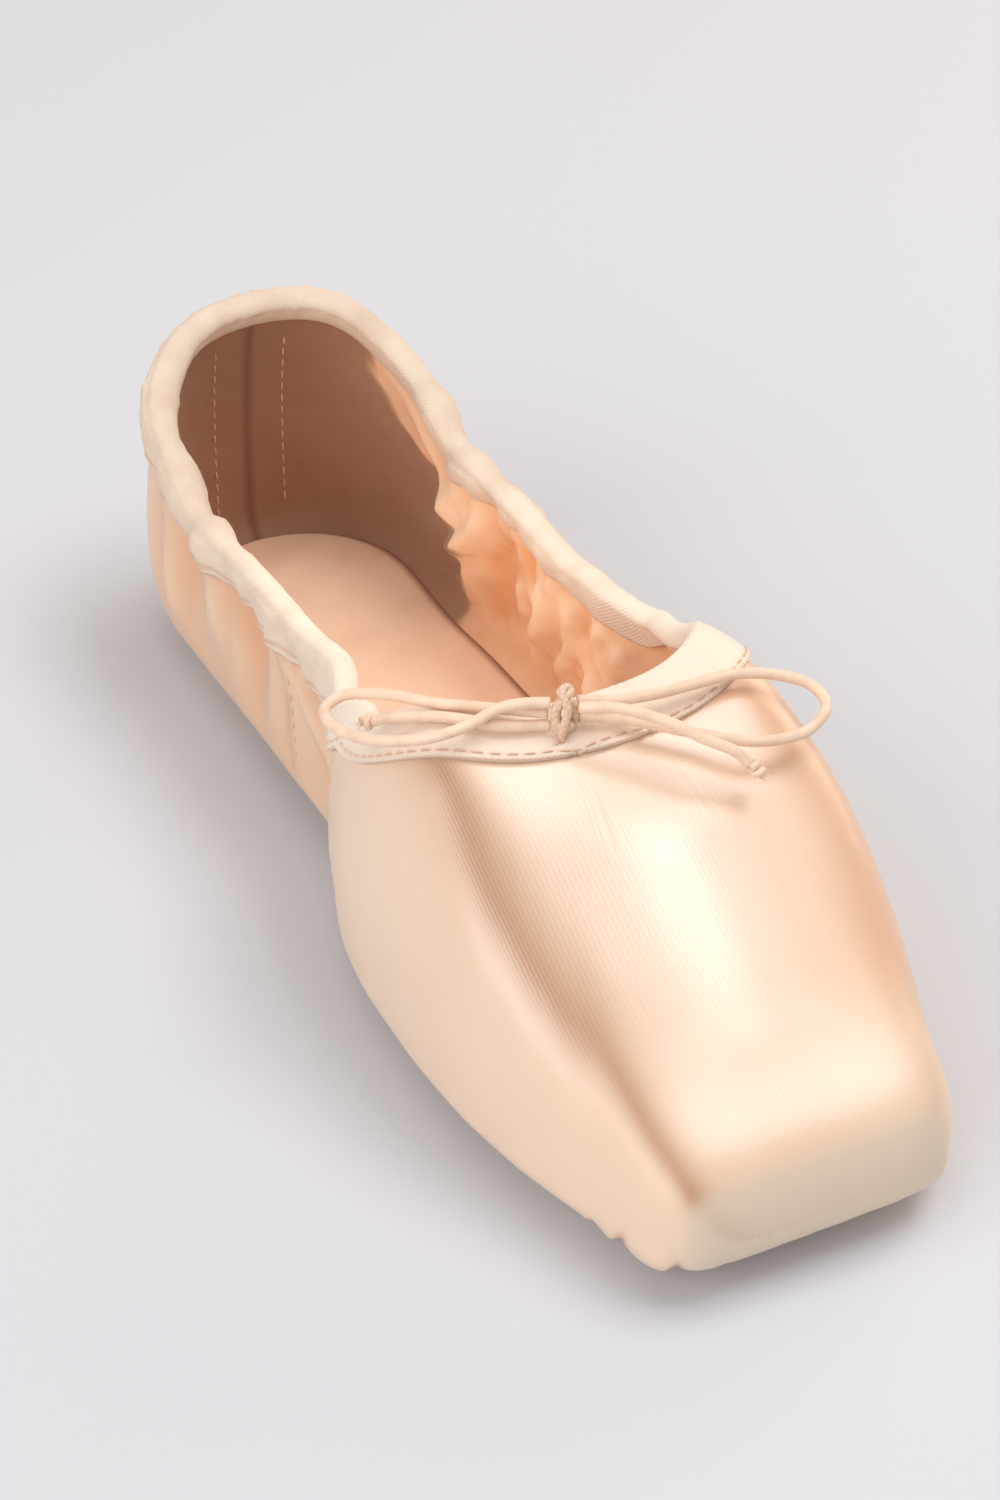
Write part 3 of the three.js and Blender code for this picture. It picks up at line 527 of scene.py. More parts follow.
    def creases(self) -> Array:
        """Depth of the quarter's folds over the whole grid, outwards."""
        return crease_depth((*SOLID_FOLDS, *NEAR_CREASES, *FAR_CREASES), self.x, self.s, self.z, self.last)

    def side_seam(self) -> Array:
        """Signed distance in s from the slanted seam that joins the box to the quarter."""
        line = 88.0 + 0.13 * (27 - self.z) - 4.0 * ramp(self.z, 32, 43)
        return self.s - line


class Clay:
    """Turns grids of points in millimetres into meshes in metres."""

    @staticmethod
    def put(name: str, points: Array, faces: list[list[int]], uv: Array | None = None,
            masks: dict[str, Array] | None = None) -> bpy.types.Object:
        """Makes a mesh object, shaded smooth.

        Args:
            name: the piece's name.
            points: points in millimetres.
            faces: the corners of each face, outwards.
            uv: one pair for each corner of each face, in the faces' order.
            masks: one number for each point, by name.

        Returns:
            The object, at the origin.
        """
        mesh = bpy.data.meshes.new(name)
        mesh.from_pydata((points.reshape(-1, 3) * MM).tolist(), [], faces)
        if uv is not None:
            layer = mesh.uv_layers.new(name="cloth")
            layer.data.foreach_set("uv", uv.reshape(-1).astype(np.float32))
        for key, value in (masks or {}).items():
            attribute = mesh.attributes.new(key, "FLOAT", "POINT")
            attribute.data.foreach_set("value", value.reshape(-1).astype(np.float32))
        mesh.polygons.foreach_set("use_smooth", np.ones(len(mesh.polygons), bool))
        mesh.update()
        piece = bpy.data.objects.new(name, mesh)
        bpy.context.scene.collection.objects.link(piece)
        return piece

    @staticmethod
    def quads(rings: int, rows: int, round_rings: bool, round_rows: bool) -> tuple[Array, Array]:
        """Corners of the quads of a grid, and the (ring, row) steps of each corner for its UV."""
        i = np.arange(rings if round_rings else rings - 1)
        j = np.arange(rows if round_rows else rows - 1)
        a, b = (v.reshape(-1) for v in np.meshgrid(i, j, indexing="ij"))
        corners_of = ((a, b), (a, b + 1), (a + 1, b + 1), (a + 1, b))
        steps = np.stack([np.stack(corner, -1) for corner in corners_of], 1)
        return (steps[..., 0] % rings) * rows + steps[..., 1] % rows, steps

    @classmethod
    def tube(cls, name: str, loops: Array, uv: Array, masks: dict[str, Array]) -> bpy.types.Object:
        """Closed tube of loops that joins round to its first loop. uv: a pair for each point."""
        rings, rows = loops.shape[:2]
        faces, steps = cls.quads(rings, rows, True, True)
        corner_uv = uv[np.minimum(steps[..., 0], rings - 1), np.minimum(steps[..., 1], rows - 1)]
        corner_uv[steps[..., 0] >= rings] += uv[-1, 0] - uv[-2, 0]
        return cls.put(name, loops, faces.tolist(), corner_uv, masks)

    @classmethod
    def rod(cls, name: str, loops: Array, uv: Array | None = None,
            masks: dict[str, Array] | None = None) -> bpy.types.Object:
        """Tube of loops whose two ends are closed by a fan to the end loop's middle.

        Seen along the rod, each loop turns the left-handed way, so the quads are turned over.
        """
        rings, rows = loops.shape[:2]
        faces, steps = (corners_of[:, ::-1] for corners_of in cls.quads(rings, rows, False, True))
        first, base = rings * rows, (rings - 1) * rows
        j = np.arange(rows)
        k = (j + 1) % rows
        caps = np.concatenate([
            np.stack([first + 0 * j, j, k], -1),
            np.stack([first + 1 + 0 * j, base + k, base + j], -1),
        ])
        points = np.concatenate([loops.reshape(-1, 3), loops[:1].mean(1), loops[-1:].mean(1)])
        if uv is not None:
            wrapped = np.concatenate([uv, uv[:, :1] + np.array([0, 1.0])], 1)
            side_uv = wrapped[steps[..., 0], steps[..., 1]].reshape(-1, 2)
            uv = np.concatenate([side_uv, np.zeros((caps.size, 2))])
        masks = {key: np.append(mask, [mask[0, 0], mask[-1, -1]]) for key, mask in (masks or {}).items()}
        return cls.put(name, points, [*faces.tolist(), *caps.tolist()], uv, masks)

    @classmethod
    def short_rods(cls, name: str, rods: Array) -> bpy.types.Object:
        """Many short rods with flat ends in one mesh.

        Args:
            name: the piece's name.
            rods: points by rod, ring and side, each ring turning the right-handed way.

        Returns:
            The mesh object.
        """
        count, rings, sides = rods.shape[:3]
        quad, _ = cls.quads(rings, sides, False, True)
        j = np.arange(1, sides - 1)
        ends = np.concatenate([
            np.stack([0 * j, j + 1, j], -1),
            (rings - 1) * sides + np.stack([0 * j, j, j + 1], -1),
        ])
        triangles = np.concatenate([quad[:, [0, 1, 2]], quad[:, [0, 2, 3]], ends])
        faces = triangles[None] + (np.arange(count) * rings * sides)[:, None, None]
        return cls.put(name, rods, faces.reshape(-1, 3).tolist())


def spline(route: Array, spacing: float) -> Array:
    """Centripetal Catmull-Rom curve through a route, resampled at even spacing.

    Between two points the curve is the cubic of Barry and Goldman's pyramid with knots at the
    square roots of the chords, and a mirrored point stands beyond each end.
    """
    p = np.concatenate([[2 * route[0] - route[1]], route, [2 * route[-1] - route[-2]]])
    knots = run_along(step_lengths(p) ** 0.5)
    pieces = []
    for i in range(1, len(p) - 2):
        t = np.linspace(knots[i], knots[i + 1], 24, endpoint=False)[:, None]
        k = knots[i - 1:i + 3]
        q = p[i - 1:i + 3]
        a = [((k[n + 1] - t) * q[n] + (t - k[n]) * q[n + 1]) / (k[n + 1] - k[n]) for n in range(3)]
        b = [((k[n + 2] - t) * a[n] + (t - k[n]) * a[n + 1]) / (k[n + 2] - k[n]) for n in range(2)]
        pieces.append(((k[2] - t) * b[0] + (t - k[1]) * b[1]) / (k[2] - k[1]))
    dense = np.concatenate([*pieces, route[-1:]])
    at = run_along(step_lengths(dense))
    return sample(dense, at, np.linspace(0, at[-1], max(2, round(at[-1] / spacing) + 1)))


def line_length(line: Array) -> float:
    """Length of a line of points."""
    return float(step_lengths(line).sum())


def tube_loops(line: Array, radius: float, sides: int) -> Array:
    """Rings of a tube round a line, with frames carried along it without a twist.

    Each frame is the one before it, less its part along the new direction.
    """
    ahead = unit(np.gradient(line, axis=0))
    across = np.empty_like(line)
    start = np.cross(ahead[0], [0, 0, 1.0])
    across[0] = unit(start if np.linalg.norm(start) > 1e-3 else np.array([1.0, 0, 0]))
    for i in range(1, len(line)):
        across[i] = unit(across[i - 1] - ahead[i] * (across[i - 1] @ ahead[i]))
    return line[:, None] + spokes(np.cross(ahead, across), across, sides) * radius


class Socket:
    """A number, colour or vector on its way through a material, with arithmetic on numbers."""

    def __init__(self, graph: "Graph", socket: bpy.types.NodeSocket) -> None:
        """Keeps the node socket and the graph that it belongs to."""
        self.graph = graph
        self.socket = socket

    def __add__(self, other: Any) -> "Socket":
        """Sum."""
        return self.graph.math("ADD", self, other)

    __radd__ = __add__

    def __sub__(self, other: Any) -> "Socket":
        """Difference."""
        return self.graph.math("SUBTRACT", self, other)

    def __rsub__(self, other: Any) -> "Socket":
        """Reflected difference."""
        return self.graph.math("SUBTRACT", other, self)

    def __mul__(self, other: Any) -> "Socket":
        """Product."""
        return self.graph.math("MULTIPLY", self, other)

    __rmul__ = __mul__

    def sine(self) -> "Socket":
        """Sine of the number."""
        return self.graph.math("SINE", self)

    def wave(self, length: float, phase: Any = 0.0) -> "Socket":
        """Even ripples of a length, from 0 to 1, moved on by a phase."""
        return (self * (2 * math.pi / length) + phase).sine() * 0.5 + 0.5

    def step(self, low: float, high: float) -> "Socket":
        """0 below low and 1 above high, smooth between."""
        node = self.graph.node("ShaderNodeMapRange", {"interpolation_type": "SMOOTHSTEP"},
                               {"Value": self, "From Min": low, "From Max": high})
        return Socket(self.graph, node.outputs[0])


class Graph:
    """A material's node tree, built from expressions."""

    def __init__(self, name: str) -> None:
        """Starts an empty material."""
        self.material = bpy.data.materials.new(name)
        self.material.use_nodes = True
        self.tree = self.material.node_tree
        self.tree.nodes.clear()

    def node(self, kind: str, settings: dict[str, Any] | None = None,
             values: dict[Any, Any] | None = None) -> bpy.types.Node:
        """Makes a node.

        Args:
            kind: the node's type.
            settings: its settings, set first; "stops" are a colour ramp's (place, colour) pairs.
            values: number, colour or Socket for each input, by its name or number.

        Returns:
            The node.
        """
        node = self.tree.nodes.new(kind)
        for key, value in (settings or {}).items():
            if key == "stops":
                self._stops(node.color_ramp, value)
            else:
                setattr(node, key, value)
        for key, value in (values or {}).items():
            if isinstance(value, Socket):
                self.tree.links.new(value.socket, node.inputs[key])
            else:
                node.inputs[key].default_value = value
        return node

    @staticmethod
    def _stops(ramp_of: bpy.types.ColorRamp, stops: Sequence[tuple[float, tuple]]) -> None:
        """Sets a colour ramp's stops."""
        while len(ramp_of.elements) > 1:
            ramp_of.elements.remove(ramp_of.elements[-1])
        ramp_of.elements[0].position, ramp_of.elements[0].color = stops[0]
        for place, colour in stops[1:]:
            ramp_of.elements.new(place).color = colour

    def math(self, operation: str, *values: Any) -> Socket:
        """A Math node of one or more numbers."""
        node = self.node("ShaderNodeMath", {"operation": operation}, dict(enumerate(values)))
        return Socket(self, node.outputs[0])

    def blend(self, share: Any, low: Any, high: Any) -> Socket:
        """Colour from low, at share 0, to high, at share 1."""
        node = self.node("ShaderNodeMix", {"data_type": "RGBA"}, {0: share, 6: low, 7: high})
        return Socket(self, node.outputs[2])

    def multiply(self, share: Any, colour: Any, by: Any) -> Socket:
        """A colour times another, by a share."""
        node = self.node("ShaderNodeMix", {"data_type": "RGBA", "blend_type": "MULTIPLY"},
                         {0: share, 6: colour, 7: by})
        return Socket(self, node.outputs[2])

    def mask(self, name: str) -> Socket:
        """A number that the mesh carries."""
        node = self.node("ShaderNodeAttribute", {"attribute_name": name})
        return Socket(self, node.outputs["Fac"])

    def parts(self, vector: Socket) -> tuple[Socket, Socket, Socket]:
        """The three parts of a vector."""
        node = self.node("ShaderNodeSeparateXYZ", None, {0: vector})
        return tuple(Socket(self, out) for out in node.outputs)

    def cloth(self) -> tuple[Socket, Socket]:
        """The cloth's own coordinates in millimetres, across and along."""
        node = self.node("ShaderNodeUVMap", {"uv_map": "cloth"})
        across, along, _ = self.parts(Socket(self, node.outputs[0]))
        return across * (1 / CLOTH_UV), along * (1 / CLOTH_UV)

    def noise(self, scale: float, detail: float = 3.0, rough: float = 0.55,
              stretch: tuple[float, float, float] = (1.0, 1.0, 1.0)) -> Socket:
        """Cloudy noise about 0.5; scale is its features to the metre."""
        at = Socket(self, self.node("ShaderNodeTexCoord").outputs["Object"])
        if stretch != (1.0, 1.0, 1.0):
            node = self.node("ShaderNodeMapping", None, {"Vector": at, "Scale": stretch})
            at = Socket(self, node.outputs[0])
        node = self.node("ShaderNodeTexNoise", None,
                         {"Vector": at, "Scale": scale, "Detail": detail, "Roughness": rough})
        return Socket(self, node.outputs["Fac"])

    def bump(self, height: Socket, depth: float, strength: float = 1.0) -> Socket:
        """A bump whose height of 1 is depth metres."""
        node = self.node("ShaderNodeBump", None,
                         {"Height": height, "Distance": depth, "Strength": strength})
        return Socket(self, node.outputs[0])

    def finish(self, **values: Any) -> bpy.types.Material:
        """Ends the tree in a Principled shader with the given sockets and returns the material."""
        named = {key.replace("_", " "): value for key, value in values.items()}
        shader = self.node("ShaderNodeBsdfPrincipled", None, named)
        self.node("ShaderNodeOutputMaterial", None, {0: Socket(self, shader.outputs[0])})
        return self.material


def colour(red: int, green: int, blue: int) -> tuple[float, float, float, float]:
    """Linear colour from a picture's 0 to 255 values, by the sRGB curve."""
    values = [c / 255 for c in (red, green, blue)]
    linear = [c / 12.92 if c <= 0.04045 else ((c + 0.055) / 1.055) ** 2.4 for c in values]
    return (*linear, 1.0)


@dataclass(frozen=True)
class Satin:
    """Peach satin: ribs along the shoe, a soft gloss, a warmer face where it turns down, and painted shade
    and light.
    """

    light: tuple = colour(236, 207, 180)
    deep: tuple = colour(223, 188, 159)
    rib: float = 0.9
    thread: float = 0.42
    rough: float = 0.27

    def material(self) -> bpy.types.Material:
        """The satin's material."""
        g = Graph("peach_satin")
        across, along = g.cloth()
        rib = across.wave(self.rib, g.noise(60, 2.0) * 3.0)
        thread = along.wave(self.thread, rib * 1.6)
        cloud = g.noise(28, 3.0)
        shoulder_shade, toe = g.mask("shoulder_shade"), g.mask("toe")
        base = g.blend(cloud * 0.5, self.light, self.deep)
        base = g.multiply(g.mask("warm") * 0.5, base, colour(247, 228, 206))
        # painted shade: the hollows of the quarters' folds turned darker and warmer
        base = g.multiply(g.mask("fold") * 0.9, base, colour(240, 206, 174))
        # painted shade: a darker tan stripe along the near shoulder, set by the section's tilt
        base = g.multiply(shoulder_shade * 0.95, base, colour(205, 177, 158))
        # painted sheen and shade: the platform's flat turned greyer
        base = g.blend(g.mask("platform") * 0.8, base, colour(218, 199, 177))
        # painted light and shade: warm bounce light on the vamp's far side, a little darker over its bright
        # shoulder
        base = g.multiply(g.mask("far") * 0.65, base, colour(243, 212, 188))
        plain = 1 - toe * 0.75
        # the weave's ribs darken the colour a little everywhere, and much more inside the painted shoulder
        # shade
        base = g.multiply(rib * (0.05 + shoulder_shade * 0.34) * plain, base, colour(212, 176, 152))
        # dark seam lines, with painted shade in the pleats' tucks and a painted shadow under the casing
        base = g.multiply(g.mask("shade"), base, colour(196, 140, 104))
        height = rib * (0.1 + shoulder_shade * 0.45) * plain + thread * 0.12 + g.noise(2600, 2.0, 0.6) * 0.45
        return g.finish(
            Base_Color=base, Roughness=self.rough + cloud * 0.06 + rib * 0.05 + toe * 0.05,
            Normal=g.bump(height, 0.00004, 0.6), IOR=1.6, Specular_IOR_Level=1.0 - toe * 0.25,
            Specular_Tint=colour(255, 253, 252), Sheen_Weight=0.35, Sheen_Roughness=0.35,
            Sheen_Tint=colour(255, 244, 234),
        )


@dataclass(frozen=True)
class Lining:
    """Cotton drill inside: brown in the heel, and the satin's bare back at the quarters."""

    heel: tuple = colour(172, 132, 106)
    quarter: tuple = colour(255, 218, 182)
    # painted shade and warm bounce light for the hollows of the folds
    hollow_shade: tuple = colour(236, 172, 120)
    weave: float = 0.55

    def material(self) -> bpy.types.Material:
        """The lining's material."""
        g = Graph("lining_cotton")
        across, along = (axis * (2 * math.pi / self.weave) for axis in g.cloth())
        weave = (across.sine() * along.sine()) * 0.5 + 0.5
        cloud = g.noise(40, 4.0)
        # painted shade: the cloth turns deeper orange in the hollows of its folds
        base = g.blend(g.mask("hollow_shade"), self.quarter, self.hollow_shade)
        base = g.blend(g.mask("heel"), base, self.heel)
        base = g.multiply(cloud.step(0.3, 0.75) * 0.35, base, colour(214, 176, 150))
        base = g.multiply(g.mask("shade"), base, colour(120, 84, 62))
        height = weave * 0.4 + g.noise(1800, 2.0) * 0.5
        return g.finish(Base_Color=base, Roughness=0.86 - cloud * 0.1, Normal=g.bump(height, 0.00008, 0.7),
                        Sheen_Weight=0.15, Sheen_Roughness=0.5)


@dataclass(frozen=True)
class Tape:
    """Cream cotton twill of the casing, with slanted lines round the collar."""

    light: tuple = colour(230, 209, 188)
    deep: tuple = colour(212, 184, 159)
    # a lighter colour for the flat throat band: painted light of the top lamp's glare
    face: tuple = colour(252, 232, 212)
    twill: float = 0.8
    grain: float = 0.45

    def material(self) -> bpy.types.Material:
        """The tape's material."""
        g = Graph("casing_twill")
        across, along = g.cloth()
        twill = (across + along).wave(self.twill)
        grain = (across - along).wave(self.grain)
        cloud, flat = g.noise(120, 4.0), g.mask("flat")
        base = g.blend(cloud.step(0.3, 0.75) * 0.6 + twill * 0.12, self.light, self.deep)
        # painted shade at the casing's lips against the wall and in its stitched groove
        base = g.multiply(g.mask("shade"), base, colour(202, 148, 116))
        height = twill * 0.6 + grain * 0.2 + g.noise(2200, 2.0) * 0.5
        # the flat throat band: glossier, and painted lighter for the top lamp's glare on it
        return g.finish(Base_Color=g.blend(flat * 0.6, base, self.face),
                        Roughness=0.78 + cloud * 0.1 - flat * 0.36, IOR=1.55,
                        Normal=g.bump(height, 0.00009, 0.8), Sheen_Weight=0.2, Sheen_Roughness=0.5)


@dataclass(frozen=True)
class Sock:
    """Pale peach cotton over the insole."""

    light: tuple = colour(252, 216, 184)
    deep: tuple = colour(242, 198, 164)

    def material(self) -> bpy.types.Material:
        """The insole's material."""
        g = Graph("insole_cotton")
        cloud = g.noise(45, 4.0)
        fleck = g.noise(900, 2.0, 0.7)
        base = g.blend(cloud.step(0.3, 0.75) * 0.7 + fleck * 0.2, self.light, self.deep)
        # painted shade along the insole's edges, where it meets the wall
        base = g.multiply(g.mask("shade"), base, colour(150, 100, 72))
        return g.finish(Base_Color=base, Roughness=0.9 - cloud * 0.06,
                        Normal=g.bump(fleck + g.noise(160, 3.0) * 1.5, 0.00009, 0.6),
                        Sheen_Weight=0.2, Sheen_Roughness=0.6)


@dataclass(frozen=True)
class Hide:
    """Rough-side-out leather of the sole, with a darker pared edge."""

    light: tuple = colour(224, 194, 162)
    deep: tuple = colour(188, 148, 112)

    def material(self) -> bpy.types.Material:
        """The leather's material."""
        g = Graph("sole_leather")
        nap = g.noise(420, 5.0, 0.65)
        cloud = g.noise(30, 3.0)
        scuff = g.noise(70, 4.0, 0.6, stretch=(1.0, 0.25, 1.0)).step(0.58, 0.75)
        base = g.blend(nap * 0.5 + cloud * 0.5, self.light, self.deep)
        base = g.blend(scuff * 0.3, base, colour(160, 122, 92))
        base = g.multiply(g.mask("edge") * 0.6, base, colour(176, 132, 98))
        return g.finish(Base_Color=base, Roughness=0.72 + nap * 0.18 - scuff * 0.12,
                        Normal=g.bump(nap + g.noise(1400, 2.0) * 0.5, 0.00018, 0.7),
                        Sheen_Weight=0.15, Sheen_Roughness=0.5)


@dataclass(frozen=True)
class Cord:
    """Thin elastic wound with pale thread."""

    light: tuple = colour(242, 213, 188)
    deep: tuple = colour(206, 160, 128)
    pitch: float = 0.42
    plies: int = 1
    contrast: float = 0.16
    relief: float = 0.00002

    def material(self) -> bpy.types.Material:
        """The cord's material."""
        g = Graph("wound_elastic")
        along, around_it = g.cloth()
        turns = around_it * (2 * math.pi * CLOTH_UV * self.plies)
        winding = along.wave(self.pitch, turns)
        if self.plies > 1:
            winding = winding * along.wave(self.pitch, turns * -1)
        cloud = g.noise(260, 3.0)
        base = g.blend((1 - winding) * self.contrast + cloud.step(0.35, 0.75) * 0.3, self.light, self.deep)
        return g.finish(Base_Color=base, Roughness=0.48 + cloud * 0.15,
                        Normal=g.bump(winding, self.relief, 0.8), Sheen_Weight=0.2, Sheen_Roughness=0.4)


@dataclass(frozen=True)
class Thread:
    """Sewing thread, a shade deeper than what it sews."""

    shade: tuple = colour(232, 196, 168)

    def material(self) -> bpy.types.Material:
        """The thread's material."""
        g = Graph("sewing_thread")
        cloud = g.noise(900, 2.0)
        return g.finish(Base_Color=g.blend(cloud * 0.5, self.shade, colour(210, 166, 136)), Roughness=0.6,
                        Normal=g.bump(g.noise(5000, 2.0), 0.00004, 0.6))


def dress(piece: bpy.types.Object, material: bpy.types.Material, slot: str,
          *nodes: str) -> bpy.types.Object:
    """Gives a piece its material, rides it on the shoe and hides the solids it replaces."""
    piece.data.materials.append(material)
    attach(piece, "root")
    if nodes:
        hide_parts(*nodes)
    log.info("%s: %d faces", piece.name, len(piece.data.polygons))
    return piece


@dataclass
class Stitches:
    """A row of thread stitches along a line on a surface."""

    length: float = 2.1
    gap: float = 0.9
    radius: float = 0.19
    sink: float = 0.45
    sides: int = 6
    rings: int = 5

    def make(self, name: str, lines: Sequence[tuple[Array, Array]]) -> bpy.types.Object:
        """Makes all the stitches of some lines in one mesh.

        A stitch is a rod along its line whose ends dip under the surface: its height over the
        line is radius times cos of half a turn from end to end, less the sink at the ends.

        Args:
            name: the piece's name.
            lines: pairs of line points and outward directions.

        Returns:
            The mesh object.
        """
        share = np.linspace(-0.5, 0.5, self.rings)
        placed = []
        for line, out in lines:
            at = run_along(step_lengths(line))
            wanted = np.arange(self.length, at[-1] - self.length, self.length + self.gap)
            middle = sample(line, at, wanted)
            ahead = unit(sample(line, at, wanted + 0.5) - middle)
            placed.append((middle, ahead, unit(sample(out, at, wanted))))
        middle, ahead, out = (np.concatenate(parts) for parts in zip(*placed))
        lift = self.radius * np.cos(np.pi * share) - self.sink * self.radius
        thick = self.radius * (1 - 0.55 * (2 * share) ** 4)
        centre = (
            middle[:, None]
            + ahead[:, None] * (share * self.length)[None, :, None]
            + out[:, None] * lift[None, :, None]
        )
        spoke = spokes(unit(np.cross(ahead, out)), -out, self.sides)
        return Clay.short_rods(name, centre[:, :, None] + spoke[:, None] * thick[None, :, None, None])


@dataclass
class Upper:
    """Satin outside, lining inside, and the seams and pleats between."""

    wall: Wall
    satin_thickness: float = 0.75
    satin_room: float = 0.95
    lining_room: float = 1.1
    pleat_depth: float = 2.2
    pleat_pitch: float = 8.8
    gather_depth: float = 0.42
    hidden_step: int = 6

    def __post_init__(self) -> None:
        """Works out the two faces of the wall with all their folds."""
        w = self.wall
        self.folds = w.creases()
        self.outer = w.points + w.normal * (self.folds + self.skin())[..., None]
        own = crease_depth(LINING_FOLDS, w.x, w.s, w.z, w.last)
        self.relief = 1.3 * self.folds + (own * ramp(w.down, 3, 9)) + self.inner_skin()
        depth = np.minimum(self.relief - w.thickness, self.under_satin(self.lining_room))
        self.inner = w.points + w.normal * depth[..., None]

    def under_satin(self, room: float) -> Array:
        """Depth of a face that keeps some room under the satin, more of it at the folds."""
        return self.folds - room - 0.3 * np.abs(self.folds)

    def toe_side(self) -> Array:
        """Signed distance along the outline from the middle of the toe."""
        return self.wall.half_girth - self.wall.girth

    def pleats(self) -> Array:
        """Depth of the pleats that fold the satin under the toe.

        Each pleat rises slowly and drops in a sharp tuck; they grow under the toe, are deepest
        at the platform's corners, and fade up the wall.
        """
        w = self.wall
        td = self.toe_side()
        phase = td / self.pleat_pitch + 0.16 * np.sin(td / 7.3) + 0.12 * np.sin(td / 3.1 + 1)
        part = phase - np.floor(phase)
        shape = (1 - (1 - part) ** 2.4) * ramp(1 - part, 0, 0.2) - 0.45
        spread = 1 - ramp(np.abs(td), 44, 54)
        corner = 0.25 + 1.05 * bell(np.abs(td), 32, 9)
        high = 1 - ramp(w.z, 3.0, 8.0 + 6.0 * corner)
        return self.pleat_depth * shape * spread * corner * high * ramp(w.past, -1, 4)

    def gathers(self) -> Array:
        """Small puckers below the casing: ripples that fade within a few millimetres."""
        w = self.wall
        soft = 1 - ramp(w.s, w.last.fan_centre - 22, w.last.fan_centre + 6)
        ripple = waves(w.girth + 0.25 * w.down, (11.0, 7.3, 5.1), 5)
        fade = ramp(w.down, 1.0, 5.5) * np.exp(-np.maximum(w.down - 6, 0) / 6.5)
        return self.gather_depth * ripple * fade * soft

    def skin(self) -> Array:
        """Depth of the satin's seams, pleats and puckers, outwards."""
        w = self.wall
        seam = w.side_seam()
        ridge = 0.6 * bell(seam, 2.2, 1.8) - 0.35 * bell(seam, 0, 1.1)
        heel = w.at_heel * (0.35 * bell(np.abs(w.x), 1.4, 1.0954) - 0.45 * bell(w.x, 0, 0.4))
        slack = 0.35 * waves(w.s + 0.4 * w.z, (37.0, 23.0), 3) * (1 - ramp(w.s, 96, 120)) * ramp(w.z, 8, 16)
        return self.pleats() + self.gathers() + w.off_floor * (ridge + heel) + slack * ramp(w.down, 2, 12)

    def inner_skin(self) -> Array:
        """Depth of the lining's own ripples and back seam, outwards."""
        w = self.wall
        soft = ramp(w.s, 30, 48) * (1 - ramp(w.s, 150, 175))
        ripple = 0.4 * waves(w.s + 0.6 * w.z, (13.0, 8.1, 5.7), 9)
        ripple = ripple + 0.3 * waves(w.s - 0.9 * w.z, (9.0, 6.3), 4)
        seam = w.at_heel * 0.14 * bell(w.x, 0, 0.5)
        return ripple * soft * ramp(w.z, 9, 16) * ramp(w.down, 3, 12) + seam

    def cloth_uv(self) -> Array:
        """The satin's weave: down the section from the crown, and along the shoe."""
        w = self.wall
        across = w.x + np.sign(w.x) * np.maximum(w.last.crown(w.s) - w.z, 0)
        return np.stack([across, w.s], -1) * CLOTH_UV

    def satin_masks(self) -> dict[str, Array]:
        """The satin's colour masks over the grid, each from 0 to 1, several of them painted light or shade.

        shade: dark seam lines, painted shade in the tucks and the casing's painted shadow. band: painted
        shade in a stripe along the near shoulder. platform: the flat under the toe, painted greyer for
        its sheen in shade. toe: the plainer cloth towards it. warm: the quarters. fold: painted shade in
        the hollows of their folds. far: the vamp's far side, with painted warm bounce light and shade.
        """
        w = self.wall
        seams = (0.4 * bell(w.side_seam(), 0, 1.2) + w.at_heel * bell(w.x, 0, 0.45)) * w.off_floor
        corner = ramp(-w.z, -14, -6) * ramp(np.abs(self.toe_side()), 18, 26)
        # painted shade in the pleats' tucks at the toe's corners
        tucks = np.clip(-self.pleats() * 2.4, 0, 1) * corner
        # painted shadow in a line below the casing's lip
        casing = 0.5 * np.exp(-np.abs(w.down - 6.6) / 0.8)
        tilt = np.degrees(np.arctan2(np.abs(w.normal[..., 0]), w.normal[..., 2]))
        # painted shade along the near shoulder, where the section tilts about 32 degrees
        shoulder_shade = bell(tilt, 32, 19) * ramp(w.s, 118, 150) * ramp(w.down, 4, 14)
        # the platform's flat, which is painted greyer for its sheen in shade
        front = ramp(-w.normal[..., 1], 0.72, 0.9) * ramp(w.s, 214, 222)
        under = ramp(w.s, 224, 230) * (1 - ramp(w.z, 6, 16)) * (1 - ramp(np.abs(w.x), 22, 30))
        return {
            "shade": np.clip(0.8 * seams + tucks + casing, 0, 1),
            "shoulder_shade": shoulder_shade * (1 - 0.85 * ramp(w.x, 0, 10)),
            "platform": np.maximum(front, under),
            "toe": ramp(w.s, 188, 216),
            "warm": 1 - ramp(w.s, 82, 108),
            # painted shade in the hollows of the quarters' folds
            "fold": np.clip(0.35 - 0.3 * self.folds, 0, 1) * (1 - ramp(w.s, 100, 125)),
            # painted warm bounce light and shade on the vamp's far side
            "far": ramp(w.x, 6, 26) * ramp(w.s, 100, 130) * (1 - ramp(w.s, 205, 226)),
        }

    def satin(self, material: bpy.types.Material) -> bpy.types.Object:
        """The satin as a thin closed shell, with fewer rows on its hidden back."""
        def with_back(face: Array, back: Array) -> Array:
            """Rows up the face and down the back."""
            return np.concatenate([face, back[:, ::-1][:, ::self.hidden_step]], 1)

        uv = self.cloth_uv()
        loops = with_back(self.outer, self.outer - self.wall.normal * self.satin_thickness)
        masks = {key: with_back(mask, mask) for key, mask in self.satin_masks().items()}
        return dress(Clay.tube("upper_satin", loops, with_back(uv, uv), masks), material, "satin", "upper")

